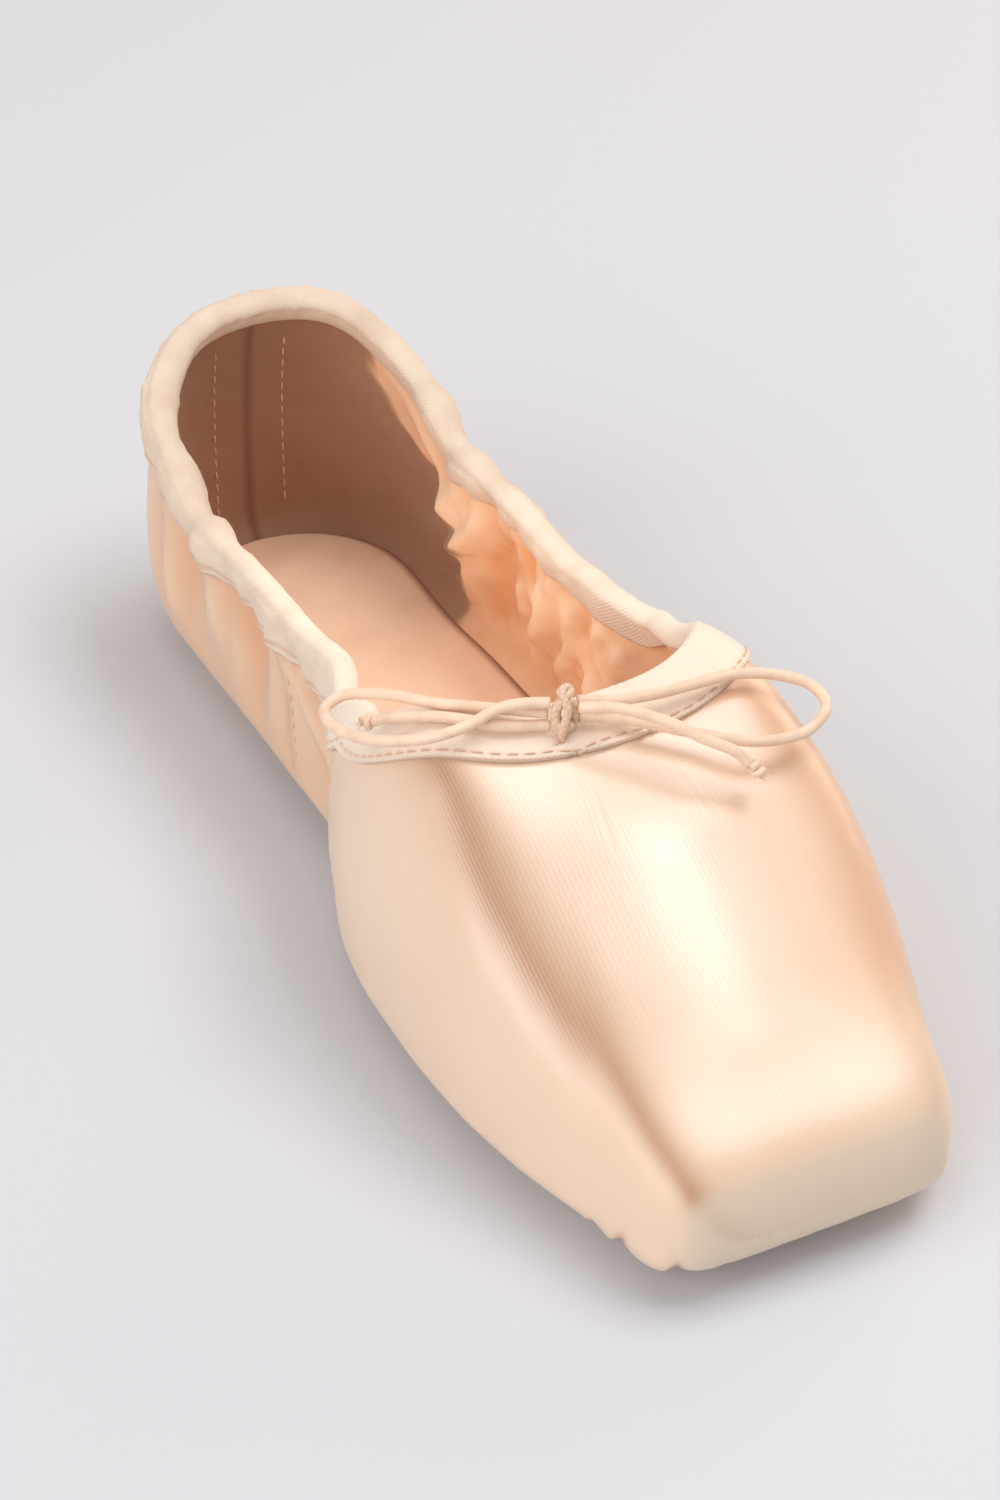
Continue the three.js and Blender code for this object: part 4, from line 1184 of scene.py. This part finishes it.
    def lining_masks(self) -> dict[str, Array]:
        """The lining's colour masks over the grid, each from 0 to 1.

        heel: the brown lining, to its drawn edge. shade: the back seam and that edge. hollow: how far
        the cloth stands outwards, as painted shade and warm bounce light in its hollows.
        """
        w = self.wall
        edge = np.interp(w.z, *zip(*HEEL_LINING_EDGE))
        edge = np.where(w.x > 0, edge, 46) + 0.8 * np.sin(w.z / 2.7) + 0.5 * np.sin(w.z / 1.3)
        shade = 0.45 * w.at_heel * bell(w.x, 0, 0.3) + 0.35 * bell(w.s, edge, 1.0)
        return {
            "heel": 1 - ramp(w.s, edge - 1.6, edge + 1.6),
            "shade": np.clip(shade, 0, 1),
            # painted shade from how far the cloth stands outwards, into its hollows
            "hollow_shade": np.clip(0.4 + 0.26 * self.relief, 0, 1),
        }

    def lining(self, material: bpy.types.Material) -> bpy.types.Object:
        """The lining as a thin closed shell against the satin."""
        def with_face(back: Array, face: Array) -> Array:
            """Rows up the hidden back, where few are enough, and down the face."""
            return np.concatenate([back[:, ::self.hidden_step], face[:, ::-1]], 1)

        w = self.wall
        hidden = w.points + w.normal * self.under_satin(self.satin_room)[..., None]
        uv = np.stack([w.girth, w.down], -1) * CLOTH_UV
        masks = {key: with_face(mask, mask) for key, mask in self.lining_masks().items()}
        piece = Clay.tube("upper_lining", with_face(hidden, self.inner), with_face(uv, uv), masks)
        return dress(piece, material, "lining")

    def side_line(self, offset: float, side: Side) -> tuple[Array, Array]:
        """The satin's line at a distance in s from a side seam, and its outward ways."""
        w = self.wall
        seam = np.where(side.value * w.x[:, :1] > 0, w.side_seam() - offset, 1e3)
        points, ways = [], []
        for row in range(0, w.s.shape[1], 3):
            values = seam[:, row]
            change = np.where((values[:-1] * values[1:] < 0) & (np.abs(values[:-1]) < 20))[0]
            if w.down[0, row] < 9 or len(change) == 0 or w.turn[change[0], row] < 0:
                continue
            i = change[0]
            t = values[i] / (values[i] - values[i + 1])
            points.append(self.outer[i, row] * (1 - t) + self.outer[i + 1, row] * t)
            ways.append(w.normal[i, row])
        return np.array(points), np.array(ways)

    def heel_line(self, grid: Array, distance: float) -> tuple[Array, Array]:
        """A grid's line up the back of the heel at a distance in x, and its outward ways."""
        w = self.wall
        rows = np.where((w.down[0] > 9) & (w.z[0] > 12))[0]
        near = [i for i in np.argsort(grid[:, rows[0], 0]) if w.s[i, rows[0]] < 30]
        points, ways = [], []
        for row in rows:
            x = grid[near, row, 0]
            points.append([np.interp(distance, x, grid[near, row, k]) for k in range(3)])
            ways.append([np.interp(distance, x, w.normal[near, row, k]) for k in range(3)])
        return np.array(points), unit(np.array(ways))

    def stitches(self, material: bpy.types.Material) -> None:
        """Stitch rows behind the side seams, beside the back seam, and inside the heel."""
        sides = [self.side_line(2.6, side) for side in Side]
        dress(Stitches().make("side_seam_stitches", sides), material, "satin")
        inside = [self.heel_line(self.inner, distance) for distance in (-7.5, 7.5)]
        inside = [(line, -ways) for line, ways in inside]
        dress(Stitches(radius=0.22).make("heel_lining_stitches", inside), material, "lining")
        outside = [self.heel_line(self.outer, distance) for distance in (-2.2, 2.2)]
        dress(Stitches().make("back_seam_stitches", outside), material, "satin")


# the brown lining's front edge inside the far quarter: height, and distance from the heel
HEEL_LINING_EDGE = (
    (8, 51), (12, 49), (16, 46), (20, 45), (23, 49), (25.5, 53), (27.5, 50), (29.5, 42), (31.5, 33),
    (34, 25), (37, 19), (42, 16), (50, 14),
)


@dataclass(frozen=True)
class Lump:
    """A puckered place of the casing. at: share of the length. size: mm. reach: mm round it."""

    at: float
    side: Side
    size: float
    reach: float
    drop: float = 0.0


LUMPS = (
    Lump(0.075, NEAR, 0.7, 6.0), Lump(0.118, NEAR, -0.7, 4.0), Lump(0.155, NEAR, 1.1, 6.0, -0.8),
    Lump(0.190, NEAR, -0.9, 3.5, 0.8), Lump(0.215, NEAR, 1.2, 5.0, -1.2), Lump(0.245, NEAR, -0.6, 4.0, 0.4),
    Lump(0.12, FAR, -0.6, 4.0, 0.4), Lump(0.15, FAR, 0.9, 6.0, -0.6), Lump(0.185, FAR, -0.8, 4.0, 0.8),
    Lump(0.22, FAR, 0.9, 7.0, -0.8), Lump(0.262, FAR, -0.5, 4.5, 0.4), Lump(0.30, FAR, 0.4, 7.0, -0.4),
)


@dataclass
class Casing:
    """The twill casing folded over the collar, drawn into puckers round the heel and sides.

    Each loop round it has face_points up its outer face, roll_points over the collar's edge,
    face_points down its inner face, and five behind, against the wall.
    """

    upper: Upper
    gap: float = 0.3
    cloth: float = 0.9
    puff: float = 1.3
    side_height: float = 6.5
    throat_height: float = 10.6
    inside_share: float = 0.62
    stitch_height: float = 1.7
    face_points: int = 14
    roll_points: int = 13

    def __post_init__(self) -> None:
        """Works out how flat and how high the casing is at each ring.

        Its height is measured down the ring, so it grows where the ring meets the collar
        aslant, and is smoothed round the collar.
        """
        w = self.wall = self.upper.wall
        centre = w.last.fan_centre
        self.flat = ramp(w.s[:, -1], centre - 28, centre + 2)
        self.soft = 1 - self.flat
        self.front = self.gap + self.cloth
        height = self.side_height + (self.throat_height - self.side_height) * self.flat
        end, before = w.points[:, -1], w.points[:, -12]
        along = np.roll(end, -1, 0) - np.roll(end, 1, 0)
        slant = np.linalg.norm(np.cross(unit(end - before), unit(along)), axis=1)
        height = height / np.maximum(slant, 0.6)
        weights = np.hanning(45)
        padded = np.concatenate([height[-22:], height, height[:22]])
        self.height = np.convolve(padded, weights / weights.sum(), "valid")
        self.around = run_along(np.linalg.norm(np.roll(end, -1, 0) - end, axis=1))[:-1]

    def lumps(self) -> tuple[Array, Array]:
        """Swelling and drop of the puckered places, a bell round each."""
        w = self.wall
        s, x = w.s[:, -1], w.x[:, -1]
        swell, drop = np.zeros(len(s)), np.zeros(len(s))
        for lump in LUMPS:
            near = bell(s, lump.at * w.last.length, lump.reach) * (lump.side.value * x > 0)
            swell += lump.size * near
            drop += lump.drop * near
        return swell * self.soft, drop * self.soft

    def below(self, grid: Array, down: Array) -> Array:
        """Points of a grid at a length below the collar on each ring. down: one for each ring."""
        every = self.wall.down
        rows = np.arange(every.shape[1])[-31:]
        row = np.interp(-down, -every[0, -31:], rows)
        i = np.minimum(np.floor(row).astype(int), rows[-2])
        t = (row - i)[:, None]
        ring = np.arange(len(down))
        return grid[ring, i] * (1 - t) + grid[ring, i + 1] * t

    def on_wall(self, share: Array | float, inside: bool) -> tuple[Array, Array]:
        """The wall's face at a share of the casing's height below the collar, and its ways out."""
        grid, sign = (self.upper.inner, -1) if inside else (self.upper.outer, 1)
        length = self.height * share * (self.inside_share if inside else 1.0)
        return self.below(grid, length), self.below(self.wall.normal, length) * sign

    def roll(self, turn: float, swell: Array, drop: Array, pucker: Array) -> Array:
        """Points over the collar's edge, on half an ellipse from outside, 0, to inside, pi."""
        w = self.wall
        half = w.thickness[:, -1:] / 2
        wide = half[:, 0] + self.front + self.puff * self.soft * 0.42 + 0.5 * swell + pucker
        tall = self.front + self.puff * self.soft * 0.55 + 0.4 * swell + pucker
        return (
            w.points[:, -1] - w.normal[:, -1] * half
            + w.normal[:, -1] * (math.cos(turn) * wide)[:, None]
            + w.up[:, -1] * (math.sin(turn) * tall - drop)[:, None]
        )

    def face(self, share: float, inside: bool, swell: Array, drop: Array, pucker: Array) -> Array:
        """Points on a face at a share of its height, swelled by a sine, grooved by the stitches."""
        bulge = math.sin(math.pi * (0.24 + 0.76 * share)) ** 0.8 if share < 1 else 0.0
        stand = self.puff * self.soft * bulge * (0.45 if inside else 1.0) + swell * bulge * 0.8
        stand = stand + pucker * (1 - share ** 6)
        if not inside:
            from_lip = self.height * (1 - share)
            stand = stand - 0.3 * bell(from_lip, self.stitch_height, 0.5) * (0.4 + 0.6 * self.flat)
            stand = stand + 0.15 * bell(from_lip, 0.7, 0.6)
        ground, way = self.on_wall(share, inside)
        edge_up = self.wall.up[:, -1] * (-drop * (1 - share))[:, None]
        return ground + way * (self.front + stand)[:, None] + edge_up

    def profile(self) -> Array:
        """The casing's loops round the collar.

        Outside and inside it stands a cloth's thickness off the wall and swells by a sine of the
        height; over the edge it closes in half an ellipse. Ripples that slant round the roll
        pucker it where the drawstring is drawn, and across the throat it lies flat, with a
        groove where it is topstitched.
        """
        w = self.wall
        swell, drop = self.lumps()
        calm = 1 - 0.6 * ramp(w.s[:, -1], 50, 75)
        turns = np.linspace(0, np.pi, self.roll_points)
        last = 2 * self.face_points + self.roll_points - 1
        half = last // 2
        loops = []
        for k in range(last + 1):
            ripple = waves(self.around + 5.0 * k / half, (9.7, 6.1, 4.3), 21)
            fine = waves(self.around - 4.0 * k / half, (3.7, 2.6), 8)
            swing = math.sin(math.pi * min(k, last - k) / half * 0.9 + 0.1)
            pucker = (0.17 * ripple + 0.05 * fine) * calm * self.soft * swing
            from_end = min(k, last - k)
            if from_end >= self.face_points:
                loops.append(self.roll(turns[k - self.face_points], swell, drop, pucker))
            else:
                share = 1 - from_end / self.face_points
                loops.append(self.face(share, k > half, swell, drop, pucker))
        behind = ((1, True), (0.5, True), (0.5, False), (1, False))
        back = [self.on_wall(share, inside) for share, inside in behind]
        back = [ground + way * (self.gap * 0.4) for ground, way in back]
        top = w.points[:, -1] - w.normal[:, -1] * (w.thickness[:, -1:] / 2) + w.up[:, -1] * 0.25
        return np.stack([*loops, *back[:2], top, *back[2:]], 1)

    def make(self, material: bpy.types.Material) -> bpy.types.Object:
        """The casing as one closed tube round the collar."""
        loops = self.profile()
        place = np.arange(loops.shape[1])
        steps = np.linalg.norm(np.diff(loops, axis=1), axis=2)
        across = np.concatenate([np.zeros((len(loops), 1)), np.cumsum(steps, 1)], 1)
        uv = np.stack([self.around[:, None] + 0 * across, across], -1) * CLOTH_UV
        groove = bell(self.height[:, None] * (place / self.face_points), self.stitch_height, 0.45)
        # painted shade at both lips, where the casing meets the wall, and along the stitched groove; the
        # loops behind are hidden
        shade = 0.7 * (place == 0) + 0.5 * (place >= 40) + 0.45 * groove * (place < self.face_points)
        masks = {"shade": np.clip(shade, 0, 1), "flat": self.flat[:, None] + 0 * shade}
        return dress(Clay.tube("casing_tape", loops, uv, masks), material, "tape", "binding")

    def topstitch(self, material: bpy.types.Material) -> bpy.types.Object:
        """The row of stitches along the casing's lower edge, just above its lip."""
        length = self.height - self.stitch_height
        way = self.below(self.wall.normal, length)
        line = self.below(self.upper.outer, length) + way * (self.front - 0.12)
        row = tuple(np.concatenate([part, part[:1]]) for part in (line, way))
        return dress(Stitches(radius=0.2).make("casing_topstitch", [row]), material, "tape")


@dataclass
class Sole:
    """The pleated-on leather sole: flat underside, pared edge, and a sunk stitching channel."""

    last: Last
    skive_width: float = 2.5
    skive_step: float = 0.9
    bevel_width: float = 0.9
    bevel_step: float = 0.35
    channel_at: float = 0.86
    channel_depth: float = 0.35
    steps: int = 150
    columns: int = 18

    def _under_surface(self, x: Array, s: Array) -> Array:
        """Height of the upper's underside at points, found on the rings by bisection."""
        last = self.last
        ox, os = last.outline
        anchor = soft_limit(os, last.heel_round, last.fan_centre)
        beside = np.maximum(np.abs(x), 1e-6)
        low = np.zeros(x.shape, int)
        high = np.full(x.shape, len(ox) - 1)
        for _ in range(12):
            middle = (low + high) // 2
            ahead = (s - anchor[middle]) * ox[middle] - beside * (os[middle] - anchor[middle]) > 0
            low, high = np.where(ahead, middle, low), np.where(ahead, high, middle)
        reach = np.maximum(np.hypot(os[high] - anchor[high], ox[high]), 1e-6)
        out = np.clip(np.hypot(s - anchor[high], beside) / reach, 0, 1)
        power = last.ring_power(ox[high], os[high], anchor[high], np.ones(x.shape, bool))
        level = last.level(s)
        height = level + (last.underside(s) - level) * (1 - out ** power) ** (1 / 3.0)
        return np.where(np.abs(x) < 1e-6, last.underside(s), height)

    def _inset(self, amount: float) -> tuple[Array, Array]:
        """The sole's outline at even steps, moved inwards."""
        last = self.last
        x, s = last.sole
        lengths = run_along(np.hypot(np.diff(x), np.diff(s)))
        wanted = np.linspace(0, lengths[-1], self.steps)
        x, s = np.interp(wanted, lengths, x), np.interp(wanted, lengths, s)
        narrow = amount * (1 - np.exp(-x / (2 * amount))) if amount else 0 * x
        middle = (last.sole_back + last.sole_end) / 2
        return x - narrow, middle + (s - middle) * (1 - 2 * amount / (last.sole_end - last.sole_back))

    def make(self, material: bpy.types.Material) -> bpy.types.Object:
        """The sole as sections across the foot, each a closed loop, from the heel to the toe.

        A section runs across the floor with its stitching channel, up the pared edge, back
        across the top under the upper, and down the other edge.
        """
        last = self.last
        across = np.linspace(-1, 1, self.columns + 1)
        rows, edge = [], []
        x, s = self._inset(self.skive_width)
        for a in across:
            groove = self.channel_depth * bell(abs(a), self.channel_at, 0.02)
            rows.append(to_space(x * a, s, last.rise(s) + groove))
            edge.append(abs(a) ** 8)
        bevel = (self.bevel_width, self.bevel_step)
        skive = (0.0, self.skive_step)
        for amount, lift in (bevel, skive):
            x, s = self._inset(amount)
            rows.append(to_space(x, s, last.rise(s) + lift))
        for a in across[::-1]:
            rows.append(to_space(x * a, s, self._under_surface(x * a, s) - last.sole_gap))
        for amount, lift in (skive, bevel):
            x, s = self._inset(amount)
            rows.append(to_space(-x, s, last.rise(s) + lift))
        edge += [1.0, 1.0, *[0.4] * len(across), 1.0, 1.0]
        loops = np.stack(rows, 1)[:, ::-1]
        mask = np.broadcast_to(np.array(edge)[::-1], loops.shape[:2])
        return dress(Clay.rod("sole_leather", loops, None, {"edge": mask}), material, "leather", "outsole")


@dataclass
class Insole:
    """The cotton-covered insole inside the shoe, a little dished and wrinkled."""

    upper: Upper
    seat: float = 0.9
    thickness: float = 1.6
    edge_gap: float = 1.2
    toe_gap: float = 3.0
    columns: int = 26

    def _height(self, s: Array, share: float) -> Array:
        """Height over the floor at s, from the insole's underside, 0, to its top, 1."""
        last = self.upper.wall.last
        return last.underside(s) + last.wall(s) + self.seat + share * self.thickness

    def make(self, material: bpy.types.Material) -> bpy.types.Object:
        """The insole as sections across the foot, following the inside of the wall."""
        w = self.upper.wall
        last = w.last
        half = len(w.s) // 2 + 1
        inner = (w.points - w.normal * w.thickness[..., None])[:half]
        above = inner[..., 2] - self._height(place_of(inner), 1.0)
        j = np.clip(np.argmax(above > 0, axis=1), 1, None)
        ring = np.arange(half)
        before, after = above[ring, j - 1], above[ring, j]
        t = np.clip(before / (before - after), 0, 1)[:, None]
        at = inner[ring, j - 1] * (1 - t) + inner[ring, j] * t
        s = place_of(at)
        anchor = np.clip(s, last.heel_round, last.fan_centre)
        reach = np.hypot(at[:, 0], s - anchor)
        ahead = np.clip((s - anchor) / (last.length - anchor), 0, 1)
        gap = self.edge_gap + (self.toe_gap - self.edge_gap) * ahead
        x, s = at[:, 0] * (1 - gap / reach), anchor + (s - anchor) * (1 - gap / reach)
        x[0] = x[-1] = 0
        across = np.linspace(-1, 1, self.columns + 1)
        rows, shade = [], []
        for a in across[::-1]:
            px = (x - 0.35) * a * (x > 0.4)
            pillow = 0.18 * waves(s + 0.5 * px, (31.0, 19.0, 12.0), 2) * (1 - a ** 4)
            rows.append(to_space(px, s, self._height(s, 1.0) + pillow - 0.45 * abs(a) ** 24))
            # painted shade along the insole's edges, where it meets the wall
            shade.append(0.9 * abs(a) ** 40)
        rows.append(to_space(-x, s, self._height(s, 0.7)))
        rows += [to_space(x * a * 0.995, s, self._height(s, 0.0)) for a in across]
        rows.append(to_space(x, s, self._height(s, 0.7)))
        shade += [1.0] * (len(rows) - len(shade))
        loops = np.stack(rows, 1)[:, ::-1]
        mask = np.broadcast_to(np.array(shade)[::-1], loops.shape[:2])
        return dress(Clay.rod("insole_sock", loops, None, {"shade": mask}), material, "lining", "insole")


@dataclass
class Drawstring:
    """The elastic drawstring's bow: a knot, two loops and two free ends."""

    middle: Array
    diameter: float = 2.0
    tip_radius: float = 0.72
    routes: dict[str, list] = field(default_factory=lambda: {
        "loop_left": [
            [-2.6, 0.5, 2.3], [-7, 2, 2.6], [-11, 3, 2.2], [-16.5, 2.5, 1.1], [-23, 3.5, -0.1],
            [-29.5, 8, -1.7], [-33, 14, -3.3], [-34.3, 20, -4.3], [-33, 24.6, -4.6], [-29.5, 25.6, -3.9],
            [-25.8, 22.6, -2.6], [-22.2, 18, -1.4], [-18.5, 12.5, -0.4], [-13.5, 8.5, -0.1],
            [-8.5, 5, -0.1], [-2.7, 0.8, 0],
        ],
        "loop_right": [
            [2.6, 0.6, 1], [8.5, -1.5, 0.4], [16.5, -2, -0.5], [25, -1.5, -1.3], [33, -1, -2.3],
            [40, -2.5, -3.9], [45, -5.5, -5.7], [45.5, -10, -6.9], [41, -14, -7.1], [36.5, -15.5, -6.9],
            [28.5, -15, -5.9], [19.5, -9.5, -4.7], [14, -6, -3.5], [8.5, -2.5, -2.5], [2.6, -0.2, -1.9],
        ],
        "end_left": [
            [-2.6, 0.4, -2.2], [-7, 1.5, -1.7], [-11.5, 3, -1], [-15.5, 6, -0.6], [-19.5, 10, -1.2],
            [-23.5, 14, -2.6], [-26, 17.5, -4.6], [-26.8, 18.5, -5.4],
        ],
        "end_right": [
            [1.7, -2.1, 1.6], [6.5, -5.5, 2.2], [10.5, -8.5, 1.5], [14.5, -12, 0.3], [18.5, -15.5, -1.8],
            [23, -18, -4.2], [25, -19.5, -6.4],
        ],
    })
    wrap: list = field(default_factory=lambda: [
        [0.4, 0.9, -5.0], [0.9, 0.8, -3.9], [1.3, 0.5, -2.4], [1.45, 0.3, -0.6], [1.3, 0.0, 1.1],
        [0.8, -0.4, 2.4], [-0.1, -0.9, 2.8], [-1.1, -1.2, 1.8], [-1.4, -1.3, 0.2], [-1.1, -1.4, -1.2],
        [-0.3, -1.4, -2.1], [0.7, -1.2, -2.2], [1.3, -0.8, -1.4],
    ])
    cross: list = field(default_factory=lambda: [
        [0.2, 0.7, 3.7], [-0.6, 0.2, 4.2], [-0.7, -0.6, 4.0], [0.1, -1.0, 3.8], [0.8, -0.5, 4.1],
        [0.8, 0.2, 4.6], [0.1, 0.1, 5.0], [-0.4, -0.7, 4.6], [0.1, -1.5, 3.4], [0.7, -2.0, 1.8],
        [0.5, -2.2, 0.2], [0.1, -2.3, -1.4], [-0.2, -2.2, -3.0], [-0.4, -2.1, -4.4],
    ])

    def strand(self, name: str, route: Array, radius: float,
               sides: int = 14) -> tuple[bpy.types.Object, Array]:
        """A round strand and its line along a route, the cloth's coordinates its length and turn."""
        line = spline(route, 0.5)
        loops = tube_loops(line, radius, sides)
        along = np.linspace(0, line_length(line), len(line))
        uv = np.stack(np.broadcast_arrays(along[:, None] * CLOTH_UV, np.arange(sides)[None] / sides), -1)
        return Clay.rod(name, loops, uv), line

    def make(self, material: bpy.types.Material) -> None:
        """The loops and ends as cords in place of the solids of their names, and the knot that they leave.
        """
        knot = self.knot(material)
        for name, route in self.routes.items():
            is_loop = name.startswith("loop")
            points = np.array(route, float) + self.middle
            piece, line = self.strand(f"cord_{name}", points, self.diameter / 2)
            dress(piece, material, "elastic", name)
            on_it = [] if is_loop else [self.tip(name, line, material)]
            if name == "end_left":
                on_it.append(knot)
            log.info("%s is %.1f mm long", name, line_length(line))

    def tip(self, name: str, line: Array, material: bpy.types.Material) -> bpy.types.Object:
        """The tied and frayed tip of a free end: a small overhand lump and a brush of threads."""
        end, way = line[-1], unit(line[-1] - line[-4])
        turn = np.linspace(0, 2.6 * np.pi, 26)[:, None]
        side = unit(np.cross(way, [0, 0, 1.0]))
        curl = side * np.cos(turn) + np.cross(side, way) * np.sin(turn)
        route = end + way * (0.3 + 0.24 * turn) + curl * self.tip_radius
        piece, _ = self.strand(f"tip_{name}", route, self.tip_radius, 10)
        dress(self.fray(f"fray_{name}", end + way * 2.2, way, 22, 2.0, 0.45), material, "elastic")
        return dress(piece, material, "elastic")

    def fray(self, name: str, root: Array, way: Array, count: int, length: float,
             spread: float) -> bpy.types.Object:
        """A brush of loose threads, each a thin bent rod, with seeded directions."""
        rng = np.random.default_rng(len(name))
        t = np.linspace(0, 1, 5)[None, :, None]
        aim = unit(way + rng.normal(0, spread, (count, 3)))[:, None]
        bend = rng.normal(0, 0.35, (count, 1, 3))
        size = rng.uniform(0.5, 1.0, (count, 1, 1)) * length
        start = root + rng.normal(0, 0.35, (count, 1, 3))
        centre = start + aim * t * size + bend * t * t * size
        across = unit(np.cross(aim, rng.normal(0, 1, (count, 1, 3))))
        spoke = spokes(across, np.cross(aim, across), 4)
        return Clay.short_rods(name, centre[:, :, None] + spoke * (0.075 * (1 - 0.6 * t))[..., None])

    def knot(self, material: bpy.types.Material) -> bpy.types.Object:
        """The knot: a braided wrap round the strands, a nub on top, and an end down the front."""
        braid = Cord(plies=3, pitch=1.3, contrast=0.45, relief=0.00012).material()
        facing = np.array([[0.845, -0.534, 0], [0.534, 0.845, 0], [0, 0, 1.0]])
        wrap, cross = (np.array(route) @ facing + self.middle for route in (self.wrap, self.cross))
        piece, _ = self.strand("knot_wrap", wrap, 0.95)
        dress(piece, braid, "elastic", "knot")
        over, line = self.strand("knot_cross", cross, self.tip_radius)
        dress(over, braid, "elastic")
        way = unit(line[-1] - line[-4])
        dress(self.fray("knot_fray", line[-1] - way * 0.6, way, 34, 2.6, 0.42), material, "elastic")
        return piece


@dataclass
class Studio:
    """Pale floor, soft lights and the camera at the photograph's viewing angle."""

    eye: tuple = (-0.234974, -0.466650, 0.423397)
    target: tuple = (0.0, 0.0, 0.028)
    lens: float = 86.0
    floor_shade: tuple = colour(211, 211, 215)
    floor_cloud: tuple = colour(207, 207, 211)

    def floor(self) -> None:
        """A floor that runs up into a backdrop far behind the shoe, in one curved sheet."""
        flat = np.linspace(-3.0, 2.2, 12)
        bend = np.linspace(0, np.pi / 2, 14)[1:]
        y = np.concatenate([flat, 2.2 + 0.8 * np.sin(bend), [3.0]])
        z = np.concatenate([0 * flat, 0.8 * (1 - np.cos(bend)), [3.0]])
        x = np.linspace(-3, 3, 12)
        points = np.stack(np.broadcast_arrays(x[:, None], y[None], z[None]), -1) / MM
        faces, _ = Clay.quads(len(x), len(y), False, False)
        piece = Clay.put("studio_floor", points, faces[:, ::-1].tolist())
        g = Graph("studio_paper")
        shade = g.blend(g.noise(3.0, 2.0) * 0.1, self.floor_shade, self.floor_cloud)
        piece.data.materials.append(g.finish(Base_Color=shade, Roughness=0.95, Specular_IOR_Level=0.1))
        log.info("%s: %d faces", piece.name, len(piece.data.polygons))

    def lamp(self, name: str, place: tuple, size: float, power: float, aim: tuple = (0, 0, 0.03),
             shade: tuple = (1, 1, 1), depth: float | None = None) -> bpy.types.Object:
        """A soft rectangular light aimed at a point."""
        data = bpy.data.lights.new(name, "AREA")
        data.shape = "RECTANGLE"
        data.size, data.size_y = size, depth or size
        data.energy = power
        data.color = shade
        lamp = bpy.data.objects.new(name, data)
        lamp.location = place
        lamp.rotation_euler = (Vector(aim) - Vector(place)).to_track_quat("-Z", "Y").to_euler()
        bpy.context.scene.collection.objects.link(lamp)
        return lamp

    def lights(self) -> None:
        """A bright world and softboxes above, beside and behind, and a glow from the insole."""
        world = bpy.data.worlds.new("studio_air")
        world.use_nodes = True
        air = world.node_tree.nodes["Background"]
        air.inputs["Color"].default_value = (1.0, 0.99, 0.98, 1)
        air.inputs["Strength"].default_value = 0.46
        bpy.context.scene.world = world
        self.lamp("top_box", (0.46, -0.20, 1.2), 0.8, 7.8, (0, -0.04, 0.04), (0.98, 0.99, 1.0), 0.55)
        self.lamp("left_box", (-1.35, -0.45, 0.75), 1.7, 16.0, shade=(1.0, 0.99, 0.98), depth=1.3)
        self.lamp("warm_box", (1.05, 0.55, 0.42), 0.8, 5.5, shade=(1.0, 0.80, 0.60))
        fill = self.lamp("fill_box", (-0.12, 0.10, 1.1), 0.5, 1.1, (0, 0.03, 0.0))
        bounce = self.lamp("bounce_box", (-0.004, 0.036, 0.078), 0.03, 0.0095, (-0.002, -0.004, 0.008),
                           (0.92, 0.97, 1.0))
        fill.visible_glossy = bounce.visible_glossy = bounce.visible_camera = False

    def camera(self) -> None:
        """The photograph's eye point, aimed at the one shoe with a longer lens."""
        data = bpy.data.cameras.new("camera")
        data.sensor_width = 36.0
        data.lens = self.lens
        data.clip_start, data.clip_end = 0.02, 30
        camera = bpy.data.objects.new("camera", data)
        camera.location = self.eye
        camera.rotation_euler = (Vector(self.target) - Vector(self.eye)).to_track_quat("-Z", "Y").to_euler()
        bpy.context.scene.collection.objects.link(camera)
        bpy.context.scene.camera = camera
        bpy.context.scene.view_settings.view_transform = "Standard"


def main() -> None:
    """Loads the solids, builds the pieces round them, and sets the studio."""
    logging.basicConfig(level=logging.INFO, format="%(message)s")
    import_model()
    studio = Studio()
    studio.camera()
    upper = Upper(Wall(Last()))
    casing = Casing(upper)
    low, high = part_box("knot")
    Drawstring(np.array((low + high) / 2) / MM).make(Cord().material())
    thread = Thread().material()
    upper.satin(Satin().material())
    upper.lining(Lining().material())
    upper.stitches(thread)
    casing.make(Tape().material())
    casing.topstitch(thread)
    Sole(upper.wall.last).make(Hide().material())
    Insole(upper).make(Sock().material())
    studio.floor()
    studio.lights()


if __name__ == "__main__":
    main()
